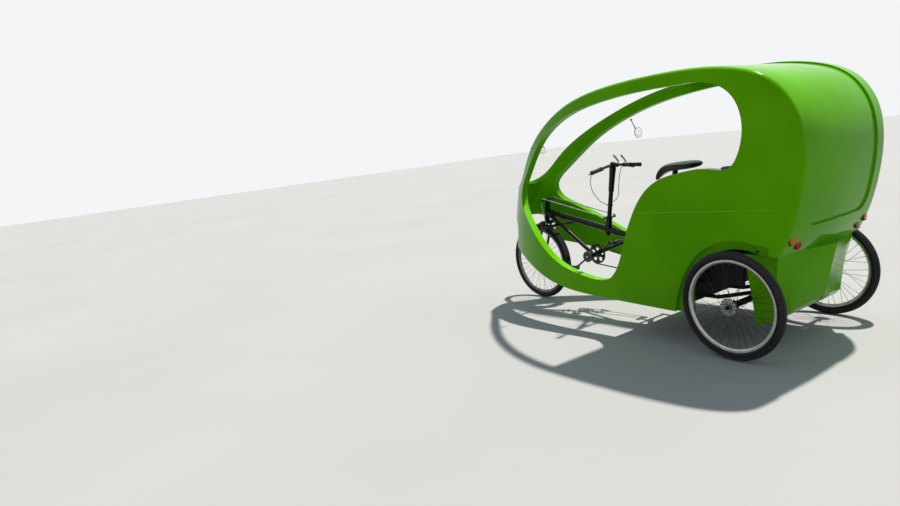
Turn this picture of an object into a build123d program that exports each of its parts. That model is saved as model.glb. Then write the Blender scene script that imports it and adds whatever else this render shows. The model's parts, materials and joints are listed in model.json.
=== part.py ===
"""Cycle rickshaw with a moulded cab: two hoops that meet at the nose, a closed back and three spoked wheels.

Millimetres. +X to the nose, +Y to the rider's left, +Z up, the ground at Z 0.
Shapes are drawn with X 0 over the rear axle and moved to the middle of the vehicle when they are written.
"""

import math
import os

from build123d import *

# Driving sizes
WHEELBASE = 2305.0
TRACK = 1200.0
REAR_R = 342.0
FRONT_R = 345.0
REAR_TYRE = 54.0
FRONT_TYRE = 47.0

# Half of the tyre's section, from the rim to the edge of the tread
TYRE_HEIGHT = 0.94
TYRE_SECTION = [
    # across as a share of half the width, depth as a share of the height
    (0.47, 1.0), (1.0, 0.48), (0.55, 0.0),
]
RIM_DEEP = 21.0

# Cab walls
HOOP_WALL = 60.0
HOOP_DEPTH = 68.0
HOOP_ROUND = 34.0
ROOF_WALL = 28.0
ROOF_FRONT_X = 930.0
LIP_Z = 1075.0
CREASE_Z = 645.0
NOSE_SPLIT_X = 2130.0
SEAT_GAP = 0.3
PANEL_GAP = 1.5
ROOM_GAP = 0.4

# Sunk panel of the roof and back, with a round-cornered lower end
BORDER = 136.0
PANEL_SINK = 12.0
PANEL_LOW_Z = 800.0
PANEL_ROUND = 100.0

# Plan outline of the cab at five heights: half width at the back, widest half width, radius of the side,
# radius of the nose, tip of the nose
PLAN = [
    # z, back, wide, side_r, nose_r, tip
    (150.0, 498.0, 552.0, 2000.0, 200.0, 2482.0),
    (600.0, 502.0, 557.0, 2000.0, 200.0, 2513.0),
    (1100.0, 507.0, 553.0, 2300.0, 120.0, 2434.0),
    (1400.0, 507.0, 550.0, 2300.0, 100.0, 2360.0),
    (1850.0, 492.0, 536.0, 2300.0, 80.0, 2256.0),
]
PLAN_REAR_X = -520.0

# Side view of the roof's edge, from the bottom of the back over the top to the windscreen lip,
# with how far the middle of the panel stands out past its edges
CROWN = [
    # x, z, rise
    (-255, 645, 25), (-318, 780, 35), (-383, 1000, 35), (-414, 1290, 36), (-392, 1445, 30), (-268, 1645, 22),
    (-8, 1763, 12), (460, 1800, 12), (1050, 1762, 10), (1350, 1699, 8), (1650, 1586, 6), (1950, 1420, 4),
    (2110, 1285, 2), (2250, 1145, 0), (2430, 1078, 0),
]
CROWN_HALF = 565.0
# Side view of the cab's lower edge, from the nose to the front of the wheel arch
KEEL = [(2620, 625), (2400, 545), (2070, 455), (1690, 340), (1304, 278), (915, 256), (430, 235), (-500, 235)]
# Side opening, seen from the side, round from the back of the armrest over the top and the nose
DOOR = [
    (-30, 1222), (-74, 1340), (-80, 1450), (-20, 1605), (110, 1690), (300, 1709), (600, 1707),
    (900, 1688), (1200, 1646), (1500, 1562), (1800, 1412), (2100, 1165), (2212, 1010), (2180, 915),
    (2100, 851), (1800, 648), (1500, 482), (1240, 412), (1090, 394), (990, 416), (920, 490),
    (840, 680), (746, 888), (640, 1036), (520, 1118), (350, 1163), (150, 1177), (10, 1180),
]
# Step round the rear wheel: rear end, top and front of the arch, then its flare down to the lower edge
ARCH = [(-205, 700), (-110, 716), (145, 704), (300, 590), (392, 440), (452, 200)]
ARCH_DEPTH = 26.0
ARCH_OPEN_R = 336.0
NOSE_ARCH_HALF = 236.0

# Lower back of the cab: half plan at the crease and at the ground side, from the ridge forward
TUB_TOP = [(-352, 0), (-262, 335), (-236, 474), (-30, 484)]
TUB_LOW = [(-222, 0), (-196, 318), (-138, 372), (-30, 382)]
TUB_LOW_Z = 150.0
TUB_WALL = 8.0
TUB_KEEL = [(-30, 170), (-140, 207), (-215, 268), (-266, 310), (-420, 440)]

# Steering, placed from the front wheel
TILT = 11.0
HEAD_TOP = (WHEELBASE - 170.0, FRONT_R + 570.0)
HEAD_LOW = FRONT_R + 383.0
HEAD_HIGH = FRONT_R + 560.0
CROWN_Z = FRONT_R + 365.0
ARM_Z = FRONT_R + 580.0
MAST_TOP = (WHEELBASE - 953.0, 1205.0)
MAST_ARM_Z = 775.0
STEER_R = 14.0
MAST_R = 18.0
RUN = 0.05
FORK_Y = 52.0
ARM_OUT = 64.0
PIN_R = 4.0
GUARD_R = FRONT_R + 12.0
BAR_BEND = 62.0
BAR_END = (-38.0, 292.0, -26.0)
BAR_R = 11.0
HEAD_R = 24.0
SLEEVE_R = 25.0
CABLE_R = 2.5
CABLE_CLIP_Z = 870.0
CABLE = [(4, -4, 0), (60, 14, -18), (92, 22, -88), (92, 2, -178), (62, -44, -262)]

# Frame tubes
BEAM_R = 25.0
DOWN_R = 17.0
BEAM_FRONT_Z = FRONT_R + 467.0
DOWN_FRONT_Z = FRONT_R + 457.0
BEAM_BACK = Vector(925, 0, 560)
SEAT_FOOT = Vector(1000, 0, 252)
SEAT_TOP = Vector(772, 0, 1130)
SEAT_TUBE_R = 19.0
RAIL_Y = 150.0
RAIL_R = 14.0
AXLE_R = 20.0
STUB_R = 7.5
CROSS_R = 13.0
CROSS_BAR_X = WHEELBASE - 257.0
CROSS_BAR_R = 14.0
STAY_BACK = Vector(1180, 0, 613)
SPOKE_R = 1.3
FLANGE_AT = 9.0
FLANGE_THICK = 4.0

# Drive
CRANK = (WHEELBASE - FRONT_R - 320.0, FRONT_R + 95.0)
CRANK_ARM = 170.0
CRANK_ANGLE = -35.0
ARM_Y = 67.0
SHELL_HALF = 34.0
SHELL_R = 21.0
SPINDLE_R = 8.5
PEDAL_IN = 90.0
PEDAL_OUT = 170.0
RING_R = 82.0
RING_Y = -48.0
CHAIN_THICK = 9.0
CHAIN_WIDE = 8.0
CHAIN_GAP = 0.8
JACK_R = 30.0
JACK_AT = (1085.0, 335.0)

# Passenger space
BENCH_FRONT = 440.0
BENCH_Z = 700.0
FLOOR_FRONT = 940.0
FLOOR_Z = 290.0

# Lamps on the lower back: middle of the lens, and its turn from straight back, for the left side
LAMPS = [
    # x, y, z, turn
    (-310, 374, 697, 6),
    (-323, 455, 734, 8),
]
LAMP_R = 30.0
LAMP_DEEP = 50.0

# Mirrors: foot of the stem on the hoop, middle of the glass, radius
MIRRORS = [
    ("mirror_left", (1933, 330, 1400), (1933, 204, 1372), 32),
    ("mirror_right", (1526, -480, 1540), (1389, -380, 1423), 45),
]

# Saddle sections from the back forwards: half width, underside, top, corner radius
SADDLE = [
    # x, half, low, high, corner
    (574, 62, 1158, 1180, 9), (600, 84, 1142, 1196, 18), (700, 92, 1132, 1195, 22), (790, 70, 1128, 1190, 20),
    (860, 42, 1116, 1176, 16), (915, 30, 1084, 1140, 12), (940, 24, 1056, 1090, 9),
]


def origin_shift(nodes):
    """X of the middle of the vehicle's length."""
    boxes = [shape.bounding_box() for shape in nodes.values()]
    return round((min(b.min.X for b in boxes) + max(b.max.X for b in boxes)) / 2, 1)


def mirror_y(shape):
    return mirror(shape, about=Plane.XZ)


def rod(start, end, radius, bore=0.0):
    start, end = Vector(*start), Vector(*end)
    along = end - start
    plane = Plane(origin=start, z_dir=along.normalized())
    solid = plane * Cylinder(radius, along.length, align=(Align.CENTER, Align.CENTER, Align.MIN))
    if bore:
        solid -= plane * Cylinder(bore, along.length, align=(Align.CENTER, Align.CENTER, Align.MIN))
    return solid


def box(x, y, z):
    middle = Pos((x[0] + x[1]) / 2, (y[0] + y[1]) / 2, (z[0] + z[1]) / 2)
    return middle * Box(x[1] - x[0], y[1] - y[0], z[1] - z[0])


def side_view(outline, y_low, y_high):
    """Extrude a face drawn in (X, Z) from y_low to y_high."""
    face = Plane(origin=(0, y_high, 0), x_dir=(1, 0, 0), z_dir=(0, -1, 0)) * outline
    return extrude(face, amount=y_high - y_low, dir=(0, -1, 0))


def plan_outline(z, back, wide, side_r, nose_r, tip, wall):
    """Plan of the cab: swelling back part, long side arc and nose arc, the same on both sides."""
    back, wide, side_r, tip = back - wall, wide - wall, side_r - wall, tip - wall
    nose_r = max(nose_r - wall, 12.0)
    nose_x = tip - nose_r
    turn_x = nose_x - math.sqrt((side_r - nose_r) ** 2 - (side_r - wide) ** 2)
    away = Vector(nose_x - turn_x, side_r - wide).normalized()
    meet = Vector(nose_x, 0) + away * nose_r
    start, rear = (turn_x, wide), (PLAN_REAR_X, back)
    mid_angle = (math.atan2(away.Y, away.X) + math.pi / 2) / 2
    mid = (turn_x + side_r * math.cos(mid_angle), wide - side_r + side_r * math.sin(mid_angle))
    swell = (rear[0] * 0.35 + start[0] * 0.65, start[1] - (start[1] - back) * 0.12)
    left = [ThreePointArc(rear, swell, start), ThreePointArc(start, mid, (meet.X, meet.Y))]
    nose = ThreePointArc((meet.X, meet.Y), (tip, 0), (meet.X, -meet.Y))
    right = [
        ThreePointArc((meet.X, -meet.Y), (mid[0], -mid[1]), (start[0], -start[1])),
        ThreePointArc((start[0], -start[1]), (swell[0], -swell[1]), (rear[0], -rear[1])),
    ]
    last = Line((rear[0], -rear[1]), rear)
    wire = Wire([*[e.edge() for e in left], nose.edge(), *[e.edge() for e in right], last.edge()])
    return Pos(0, 0, z) * Face(wire)


def cab_block(wall=0.0):
    """Body of the cab in plan, with its sides moved inwards by wall."""
    return loft([plan_outline(*row, wall=wall) for row in PLAN])


def crown_section(y, share, inset):
    """Side view of the roof at one Y: share is the part of the rise, inset the way into the cab."""
    moved = []
    for i, (x, z, rise) in enumerate(CROWN):
        before, after = CROWN[max(i - 1, 0)], CROWN[min(i + 1, len(CROWN) - 1)]
        run, climb = after[0] - before[0], after[1] - before[1]
        size = math.hypot(run, climb)
        out = rise * share - inset
        moved.append((x - out * climb / size, y, z + out * run / size))
    front, low = 2700.0, 100.0
    first, last = moved[0], moved[-1]
    edges = [
        Spline(*moved).edge(),
        Line(last, (front, y, last[2] - 18)).edge(),
        Line((front, y, last[2] - 18), (front, y, low)).edge(),
        Line((front, y, low), (first[0], y, low)).edge(),
        Line((first[0], y, low), first).edge(),
    ]
    return Face(Wire(edges))


def crown_block(inset=0.0):
    """Everything under the crowned roof and inside the swelling back."""
    return loft([crown_section(y, share, inset) for y, share in ((-CROWN_HALF, 0), (0, 1), (CROWN_HALF, 0))])


def under_keel():
    low = 0.0
    face = make_face([
        Spline(*KEEL).edge(),
        Line(KEEL[-1], (KEEL[-1][0], low)).edge(),
        Line((KEEL[-1][0], low), (2800, low)).edge(),
        Line((2800, low), (2800, KEEL[0][1])).edge(),
        Line((2800, KEEL[0][1]), KEEL[0]).edge(),
    ])
    return side_view(face, -700, 700)


def arch_face():
    low = 100.0
    rear, top_back, top_front, front, flare, foot = ARCH
    return make_face([
        Line((rear[0], low), rear).edge(),
        Line(rear, top_back).edge(),
        ThreePointArc(top_back, top_front, front).edge(),
        ThreePointArc(front, flare, foot).edge(),
        Line(foot, (foot[0], low)).edge(),
        Line((foot[0], low), (rear[0], low)).edge(),
    ])


def nose_arch():
    """Room for the front wheel as it steers, seen from the front."""
    low, top, r = FRONT_R - 45, FRONT_R + 425, 150.0
    face = Plane.YZ * (Pos(0, (low + top) / 2) * RectangleRounded(2 * NOSE_ARCH_HALF, top - low, r))
    return Pos(WHEELBASE - 405, 0, 0) * extrude(face, amount=900, dir=(1, 0, 0))


def rounded_outer():
    """Outside of the cab with its roof edges rounded from the crease to the nose."""
    outer = cab_block() & crown_block()
    spans = [(edge, edge.bounding_box()) for edge in outer.edges()]
    long_edges = [edge for edge, span in spans if span.min.Z > CREASE_Z - 20 and span.size.X > 400]
    return fillet(long_edges, HOOP_ROUND)


def panel_room():
    """Where the panel of the roof and back is sunk, all round from its lower end to the roof's front edge."""
    room = cab_block(BORDER) & box((-700, ROOF_FRONT_X + 10), (-600, 600), (PANEL_LOW_Z, 1900))
    low = [edge for edge in room.edges() if edge.bounding_box().max.Z < PANEL_LOW_Z + 1]
    corners = [edge for edge in low if edge.bounding_box().size.X > 400]
    return fillet(corners, PANEL_ROUND)


def cab():
    shell = rounded_outer() - (cab_block(HOOP_WALL) & crown_block(ROOF_WALL + PANEL_SINK))
    shell -= under_keel()
    shell -= side_view(make_face(Spline(*DOOR, periodic=True).edge()), -800, 800)
    middle = cab_block(HOOP_DEPTH)
    shell -= middle & box((ROOF_FRONT_X, 2700), (-600, 600), (LIP_Z, 1900))
    shell -= nose_arch()
    shell -= side_view(arch_face(), -700, 700) - cab_block(ARCH_DEPTH)
    shell -= Pos(0, 0, REAR_R) * Rot(90, 0, 0) * Cylinder(ARCH_OPEN_R, 1400)
    shell -= box((0, ARCH_OPEN_R), (-700, 700), (0, REAR_R))
    shell -= box((-700, 0), (-700, 700), (0, CREASE_Z))
    parts = {"nose_panel": shell & box((NOSE_SPLIT_X, 2700), (-700, 700), (0, 2000))}
    rest = shell & box((-700, NOSE_SPLIT_X - PANEL_GAP), (-700, 700), (0, 2000))
    back = cab_block(HOOP_DEPTH + SEAT_GAP) & box((-700, ROOF_FRONT_X + 5), (-600, 600), (0, 1900))
    parts["roof_back"] = (rest & back) - (panel_room() - crown_block(PANEL_SINK))
    sides = rest - (middle & box((-700, ROOF_FRONT_X + 200), (-600, 600), (0, 1900)))
    parts["cab_side_right"] = sides & box((-700, 2600), (-800, -1), (0, 2000))
    parts["cab_side_left"] = mirror_y(parts["cab_side_right"])
    return parts


def tub_plan(half, z, inset=0.0):
    """Plan of the lower back; with an inset it is the room inside, which runs out at the front."""
    points = list(half)
    if inset:
        (x0, y0), (x1, y1) = points[-2:]
        points[-1] = (x1 + 60, y1 + 60 * (y1 - y0) / (x1 - x0))
    face = make_face(Polyline(*points[::-1], *[(x, -y) for x, y in points[1:]], close=True))
    if inset:
        face = offset(face, -inset, kind=Kind.INTERSECTION)
    return Pos(0, 0, z) * face


def rear_box():
    """Lower back with a ridge, two folds and side panels, closed above and open to the front."""
    top = CREASE_Z - SEAT_GAP
    keel = make_face(Polyline(*TUB_KEEL, (-420, 700), (60, 700), (60, TUB_KEEL[0][1]), close=True))
    solid = loft([tub_plan(TUB_LOW, TUB_LOW_Z), tub_plan(TUB_TOP, top)], ruled=True)
    room = loft([tub_plan(TUB_LOW, TUB_LOW_Z, TUB_WALL), tub_plan(TUB_TOP, top, TUB_WALL)], ruled=True)
    room &= Pos(0, 0, TUB_WALL) * side_view(keel, -700, 700)
    room &= box((-500, 100), (-700, 700), (0, top - TUB_WALL))
    return (solid & side_view(keel, -700, 700)) - room


def inner_room(gap):
    return cab_block(HOOP_WALL + gap)


def axis_point(z, top):
    return Vector(top[0] + (top[1] - z) * math.tan(math.radians(TILT)), 0, z)


def steer_axis():
    return Vector(-math.sin(math.radians(TILT)), 0, math.cos(math.radians(TILT)))


def wheel(radius, tyre_w, rim_half, y_mid):
    """Tyre, rim and the radius where the spokes end, round the origin's Y axis."""
    height = tyre_w * TYRE_HEIGHT
    half = [(radius - deep * height, across * tyre_w / 2) for across, deep in TYRE_SECTION]
    left = [(r, y_mid + y) for r, y in half]
    right = [(r, y_mid - y) for r, y in half[::-1]]
    tyre = revolve(make_face(Polyline(*left, *right, close=True)), Axis.Y, 360)
    seat_r = radius - height
    rim_r = seat_r - SEAT_GAP
    well = seat_r - RIM_DEEP
    outer = make_face(Polyline(
        (rim_r, y_mid - rim_half), (rim_r, y_mid + rim_half), (seat_r - 12, y_mid + rim_half - 1),
        (well, y_mid + 5), (well, y_mid - 5), (seat_r - 12, y_mid - rim_half + 1), close=True))
    rim = revolve(outer, Axis.Y, 360)
    return tyre, rim, well


def spoke(foot, tip):
    """Thin six-sided bar."""
    foot, tip = Vector(*foot), Vector(*tip)
    plane = Plane(origin=foot, z_dir=(tip - foot).normalized())
    return extrude(plane * RegularPolygon(SPOKE_R, 6), amount=(tip - foot).length)


def hub(spoke_r, y_in, y_out, bore, flange_in, flange_out, y_mid, count, holes=0):
    """Hub with two flanges, its spokes and a ring of holes in the outer flange."""
    barrel, end_r = 17, 20
    low_in, high_in = y_in + FLANGE_AT, y_in + FLANGE_AT + FLANGE_THICK
    low_out, high_out = y_out - FLANGE_AT - FLANGE_THICK, y_out - FLANGE_AT
    profile = Polyline(
        (bore, y_in), (end_r, y_in), (end_r, low_in), (flange_in, low_in), (flange_in, high_in),
        (barrel, high_in), (barrel, low_out), (flange_out, low_out), (flange_out, high_out),
        (end_r, high_out), (end_r, y_out), (bore, y_out), close=True)
    solid = revolve(make_face(profile), Axis.Y, 360)
    for i in range(holes):
        turn = 2 * math.pi * i / holes
        x, z = (flange_out - 15) * math.cos(turn), (flange_out - 15) * math.sin(turn)
        solid -= rod((x, y_out - 20, z), (x, y_out, z), 4.5)
    spokes = []
    for i in range(count):
        outer_side, forward = i % 2, (i // 2) % 2
        flange_r = (flange_out if outer_side else flange_in) - 4
        flange_y = (low_out + high_out) / 2 if outer_side else (low_in + high_in) / 2
        y = flange_y + (1.5 if forward else -1.5)
        tip = 2 * math.pi / count * i
        foot = tip + math.radians(52 if forward else -52)
        end_r, end_y = spoke_r - SEAT_GAP, y_mid + (3 if outer_side else -3)
        spokes.append(spoke(
            (flange_r * math.cos(foot), y, flange_r * math.sin(foot)),
            (end_r * math.cos(tip), end_y, end_r * math.sin(tip))))
    return solid.fuse(*spokes)


def cross_arm(at, up):
    """Steering arm with a pin standing at each end."""
    arm = rod(at - Vector(0, ARM_OUT + 8, 0), at + Vector(0, ARM_OUT + 8, 0), 8)
    for side in (1, -1):
        pin_at = at + Vector(0, side * ARM_OUT, 0)
        arm += rod(pin_at, pin_at + up * 20, PIN_R)
    return arm


def drag_link(back_pin, front_pin, up, y):
    """Rod with an eye on each steering arm's pin."""
    back, front = back_pin + Vector(0, y, 0), front_pin + Vector(0, y, 0)
    link = rod(back + up * 13, front + up * 13, 4)
    for end in (back, front):
        link += rod(end + up * 8.4, end + up * 17.6, 9)
    for end in (back, front):
        link -= rod(end - up * 1, end + up * 40, PIN_R + RUN)
    return link


def cable(points, radius):
    """Held cable along straight runs joined by arcs as large as the runs allow."""
    points = [Vector(*p) for p in points]
    bends = []
    for before, at, after in zip(points, points[1:], points[2:]):
        turn = (at - before).get_angle(after - at)
        shorter = min((at - before).length, (after - at).length)
        bends.append(0.45 * shorter / math.tan(math.radians(turn / 2)))
    print("cable bend radii", [round(r) for r in bends])
    path = FilletPolyline(*points, radius=bends)
    start = Plane(origin=path @ 0, z_dir=path % 0)
    return sweep(start * Circle(radius), path=path)


def passenger_space():
    """Floor, bench, its back and the two cushions."""
    nodes = {}
    slab = box((BENCH_FRONT + SEAT_GAP, FLOOR_FRONT), (-600, 600), (FLOOR_Z - 20, FLOOR_Z))
    nodes["floor_tray"] = slab & inner_room(ROOM_GAP)
    rail_top = SEAT_FOOT.Z + RAIL_R + SEAT_GAP
    board = 18
    bench = box((-140, BENCH_FRONT), (-440, 440), (rail_top, BENCH_Z))
    inside = (-160, BENCH_FRONT - board)
    bench -= box(inside, (-440 + board, 440 - board), (200, BENCH_Z - board))
    bench -= box(inside, (-450, 450), (200, 430))
    bench -= box((-160, 10), (-450, 450), (200, BENCH_Z - board))
    nodes["bench_base"] = bench
    back_board = Polyline((-150, BENCH_Z), (-136, BENCH_Z), (-246, 1330), (-262, 1330), close=True)
    nodes["backrest_board"] = side_view(make_face(back_board), -600, 600) & inner_room(ROOM_GAP)
    cushion_top = BENCH_Z + 100
    seat = box((-60, BENCH_FRONT + 30), (-425, 425), (BENCH_Z + SEAT_GAP, cushion_top))
    nodes["seat_cushion"] = fillet(seat.edges().filter_by(Axis.Y), 30)
    rest_z = cushion_top + ROOM_GAP
    rest = [(-133.5, BENCH_Z + 20), (-60, rest_z), (30, rest_z), (-110, 1300), (-233, 1290)]
    back = Polyline(*rest, close=True)
    below = box((-135, 31), (-500, 500), (BENCH_Z, rest_z))
    nodes["back_cushion"] = side_view(make_face(back), -420, 420) - below
    return nodes


def main_frame():
    """Tubes fixed to each other: head, main tube, crank bearing, seat mast, rear rails and axle."""
    nodes = {}
    low, high = axis_point(HEAD_LOW, HEAD_TOP), axis_point(HEAD_HIGH, HEAD_TOP)
    nodes["head_tube"] = rod(low, high, HEAD_R, STEER_R + RUN)
    head = rod(low, high, HEAD_R + SEAT_GAP)
    beam_front = axis_point(BEAM_FRONT_Z, HEAD_TOP)
    beam_space = rod(beam_front, BEAM_BACK, BEAM_R + SEAT_GAP)
    seat_space = rod(SEAT_FOOT, SEAT_TOP, SEAT_TUBE_R + SEAT_GAP)
    mast_space = rod(axis_point(560, MAST_TOP), axis_point(800, MAST_TOP), SLEEVE_R + SEAT_GAP)
    nodes["main_tube"] = rod(beam_front, BEAM_BACK, BEAM_R) - head - seat_space - mast_space
    axis = Vector(CRANK[0], 0, CRANK[1])
    side = Vector(0, 1, 0)
    shell = rod(axis - side * SHELL_HALF, axis + side * SHELL_HALF, SHELL_R)
    bore = rod(axis - side * 60, axis + side * 60, SPINDLE_R + RUN)
    down_front = axis_point(DOWN_FRONT_Z, HEAD_TOP)
    down = rod(down_front, axis, DOWN_R)
    nodes["down_tube"] = (down + shell) - bore - head - beam_space
    stay = rod(axis, STAY_BACK, 14) - rod(axis - side * 40, axis + side * 40, SHELL_R + SEAT_GAP)
    nodes["bracket_stay"] = stay - beam_space - mast_space

    foot = SEAT_FOOT
    post = rod(foot, SEAT_TOP, SEAT_TUBE_R) - rod(foot - side * 200, foot + side * 200, CROSS_R + SEAT_GAP)
    nodes["saddle"] = saddle()
    nodes["seat_mast"] = post - Pos(0, 0, -SEAT_GAP) * nodes["saddle"]
    rail_bend = Vector(380, RAIL_Y, foot.Z)
    rail = rod((foot.X + 24, RAIL_Y, foot.Z), rail_bend, RAIL_R) + Pos(*rail_bend) * Sphere(RAIL_R)
    rail += rod(rail_bend, (0, RAIL_Y, REAR_R), RAIL_R)
    rail -= rod((0, 0, REAR_R), (0, 500, REAR_R), AXLE_R + SEAT_GAP)
    cross = rod(foot - side * RAIL_Y, foot + side * RAIL_Y, CROSS_R)
    nodes["frame_rails"] = rail + mirror_y(rail) + cross

    shoulder = TRACK / 2 - 70
    end = TRACK / 2 + 64
    axle = rod((0, -shoulder, REAR_R), (0, shoulder, REAR_R), AXLE_R)
    for y in (1, -1):
        axle += rod((0, y * shoulder, REAR_R), (0, y * end, REAR_R), STUB_R)
        axle += rod((0, y * (end - 21.6), REAR_R), (0, y * (end - 12), REAR_R), 13)
    nodes["axle_beam"] = axle
    slope = down_front - axis
    under = (DOWN_R + CROSS_BAR_R + SEAT_GAP) * slope.length / slope.X
    bar_z = axis.Z + (CROSS_BAR_X - axis.X) * slope.Z / slope.X - under
    cross_bar = rod((CROSS_BAR_X, -500, bar_z), (CROSS_BAR_X, 500, bar_z), CROSS_BAR_R)
    nodes["nose_support"] = cross_bar & inner_room(SEAT_GAP)
    nodes["mast_bearing"] = rod(axis_point(640, MAST_TOP), axis_point(760, MAST_TOP), SLEEVE_R, MAST_R + RUN)
    return nodes


def saddle():
    """Long saddle whose nose drops at the front."""
    sections = []
    for x, half, low, high, corner in SADDLE:
        outline = Pos(0, (low + high) / 2) * RectangleRounded(2 * half, high - low, corner)
        sections.append(Pos(x, 0, 0) * (Plane.YZ * outline))
    return loft(sections, ruled=True)


def steering():
    """Mast with its bar and levers, fork with its mudguard, and the two links between them."""
    nodes = {}
    up = steer_axis()
    side = Vector(0, 1, 0)
    bottom, top = axis_point(620, MAST_TOP), axis_point(1180, MAST_TOP)
    arm_at = axis_point(MAST_ARM_Z, MAST_TOP)
    mast = rod(bottom, top, MAST_R)
    nodes["mast"] = mast + rod(arm_at - up * 14, arm_at, 28) + cross_arm(arm_at - up * 7, up)
    bar_at = axis_point(1190, MAST_TOP)
    inner, outer = Vector(0, BAR_BEND, 0), Vector(*BAR_END)
    route = [Vector(outer.X, -outer.Y, outer.Z), Vector(inner.X, -inner.Y, inner.Z), inner, outer]
    path = FilletPolyline(*[bar_at + step for step in route], radius=70)
    bar = sweep(Plane(origin=path @ 0, z_dir=path % 0) * Circle(BAR_R), path=path)
    clamp = rod(bar_at - up * 9, bar_at + up * 24, 24)
    nodes["handlebar"] = bar + clamp - mast
    along = (outer - inner).normalized()
    grip_in, grip_out = bar_at + outer - along * 118, bar_at + outer + along * 2
    grip = rod(grip_in, grip_out, 16, BAR_R + 0.02)
    nodes["grips"] = Compound([grip, mirror_y(grip)])
    clamp_at = grip_in - along * 30
    lever = rod(clamp_at, clamp_at + along * 22, 17, BAR_R + 0.02)
    pivot = clamp_at + along * 11 + Vector(19, 0, -2)
    lever += rod(pivot, pivot + along * 30 + Vector(28, 0, -6), 6)
    lever += rod(pivot + along * 30 + Vector(28, 0, -6), pivot + along * 116 + Vector(26, 0, -16), 5)
    route = [pivot + Vector(*step) for step in CABLE]
    route.append(axis_point(CABLE_CLIP_Z, MAST_TOP) + Vector(MAST_R + 3.5, 4, 0))
    lever += cable(route, CABLE_R)
    clip_at = axis_point(CABLE_CLIP_Z, MAST_TOP)
    clip = rod(clip_at - up * 5, clip_at + up * 5, MAST_R + 4, MAST_R + 0.02)
    nodes["brake_levers"] = lever + mirror_y(lever) + clip

    hub_at = Vector(WHEELBASE, 0, FRONT_R)
    crown_at = axis_point(CROWN_Z, HEAD_TOP)
    fork = rod(axis_point(CROWN_Z - 10, HEAD_TOP), axis_point(ARM_Z + 5, HEAD_TOP), STEER_R)
    tilt = math.radians(TILT)
    plane = Plane(origin=crown_at, x_dir=(math.cos(tilt), 0, math.sin(tilt)), z_dir=up)
    fork += plane * Box(44, 2 * FORK_Y + 26, 22)
    for y in (1, -1):
        leg = side * (y * FORK_Y)
        fork += rod(crown_at + leg, hub_at + leg, 11)
        fork += rod(hub_at + leg - side * 6, hub_at + leg + side * 6, 15)
    fork += rod(hub_at - side * (FORK_Y + 12), hub_at + side * (FORK_Y + 12), 5)
    head_arm = axis_point(ARM_Z, HEAD_TOP)
    fork += rod(head_arm - up * 12, head_arm + up * 2, 20)
    fork += cross_arm(head_arm - up * 5, up)
    hold = (crown_at - hub_at).normalized()
    fork += rod(hub_at + hold * (GUARD_R + 1.8), crown_at, 7)
    nodes["fork"] = fork
    guard = revolve(Plane.XY * (Pos(GUARD_R, 0) * Rectangle(3, 56)), Axis.Y, 105)
    guard = Pos(*hub_at) * Rot(0, -200, 0) * guard
    stay_foot = hub_at + Vector(-(GUARD_R - 1) * 0.985, 0, -62)
    for y in (1, -1):
        guard += rod(stay_foot + side * (y * 27), hub_at + Vector(-10, y * FORK_Y, 0), 2.5)
    guard -= rod(hub_at - side * 80, hub_at + side * 80, 15 + SEAT_GAP)
    nodes["front_mudguard"] = guard
    back_pin, front_pin = arm_at - up * 7, head_arm - up * 5
    nodes["link_left"] = drag_link(back_pin, front_pin, up, ARM_OUT)
    nodes["link_right"] = drag_link(back_pin, front_pin, up, -ARM_OUT)
    return nodes


def wheels():
    """Front wheel and the two rear wheels."""
    nodes = {}
    tyre, rim, well = wheel(FRONT_R, FRONT_TYRE, 12, 0)
    at = Pos(WHEELBASE, 0, FRONT_R)
    nodes["front_tyre"], nodes["front_rim"] = at * tyre, at * rim
    nodes["front_hub"] = at * hub(well, -40, 40, 5 + RUN, 27, 27, 0, 32)
    middle = TRACK / 2
    tyre, rim, well = wheel(REAR_R, REAR_TYRE, 14, middle)
    wheel_hub = hub(well, middle - 42, middle + 42, STUB_R + RUN, 30, 55, middle, 36, holes=10)
    at = Pos(0, 0, REAR_R)
    for name, shape in (("tyre", tyre), ("rim", rim), ("hub", wheel_hub)):
        nodes["left_" + name] = at * shape
        nodes["right_" + name] = mirror_y(at * shape)
    return nodes


def loop_round(ends, radius_out, radius_in, y, thick):
    """Closed band round two sprockets."""
    def hull(step):
        return make_hull([edge for x, z, r in ends for edge in (Pos(x, z) * Circle(r + step)).edges()])
    return side_view(hull(radius_out) - hull(radius_in), y - thick / 2, y + thick / 2)


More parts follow.
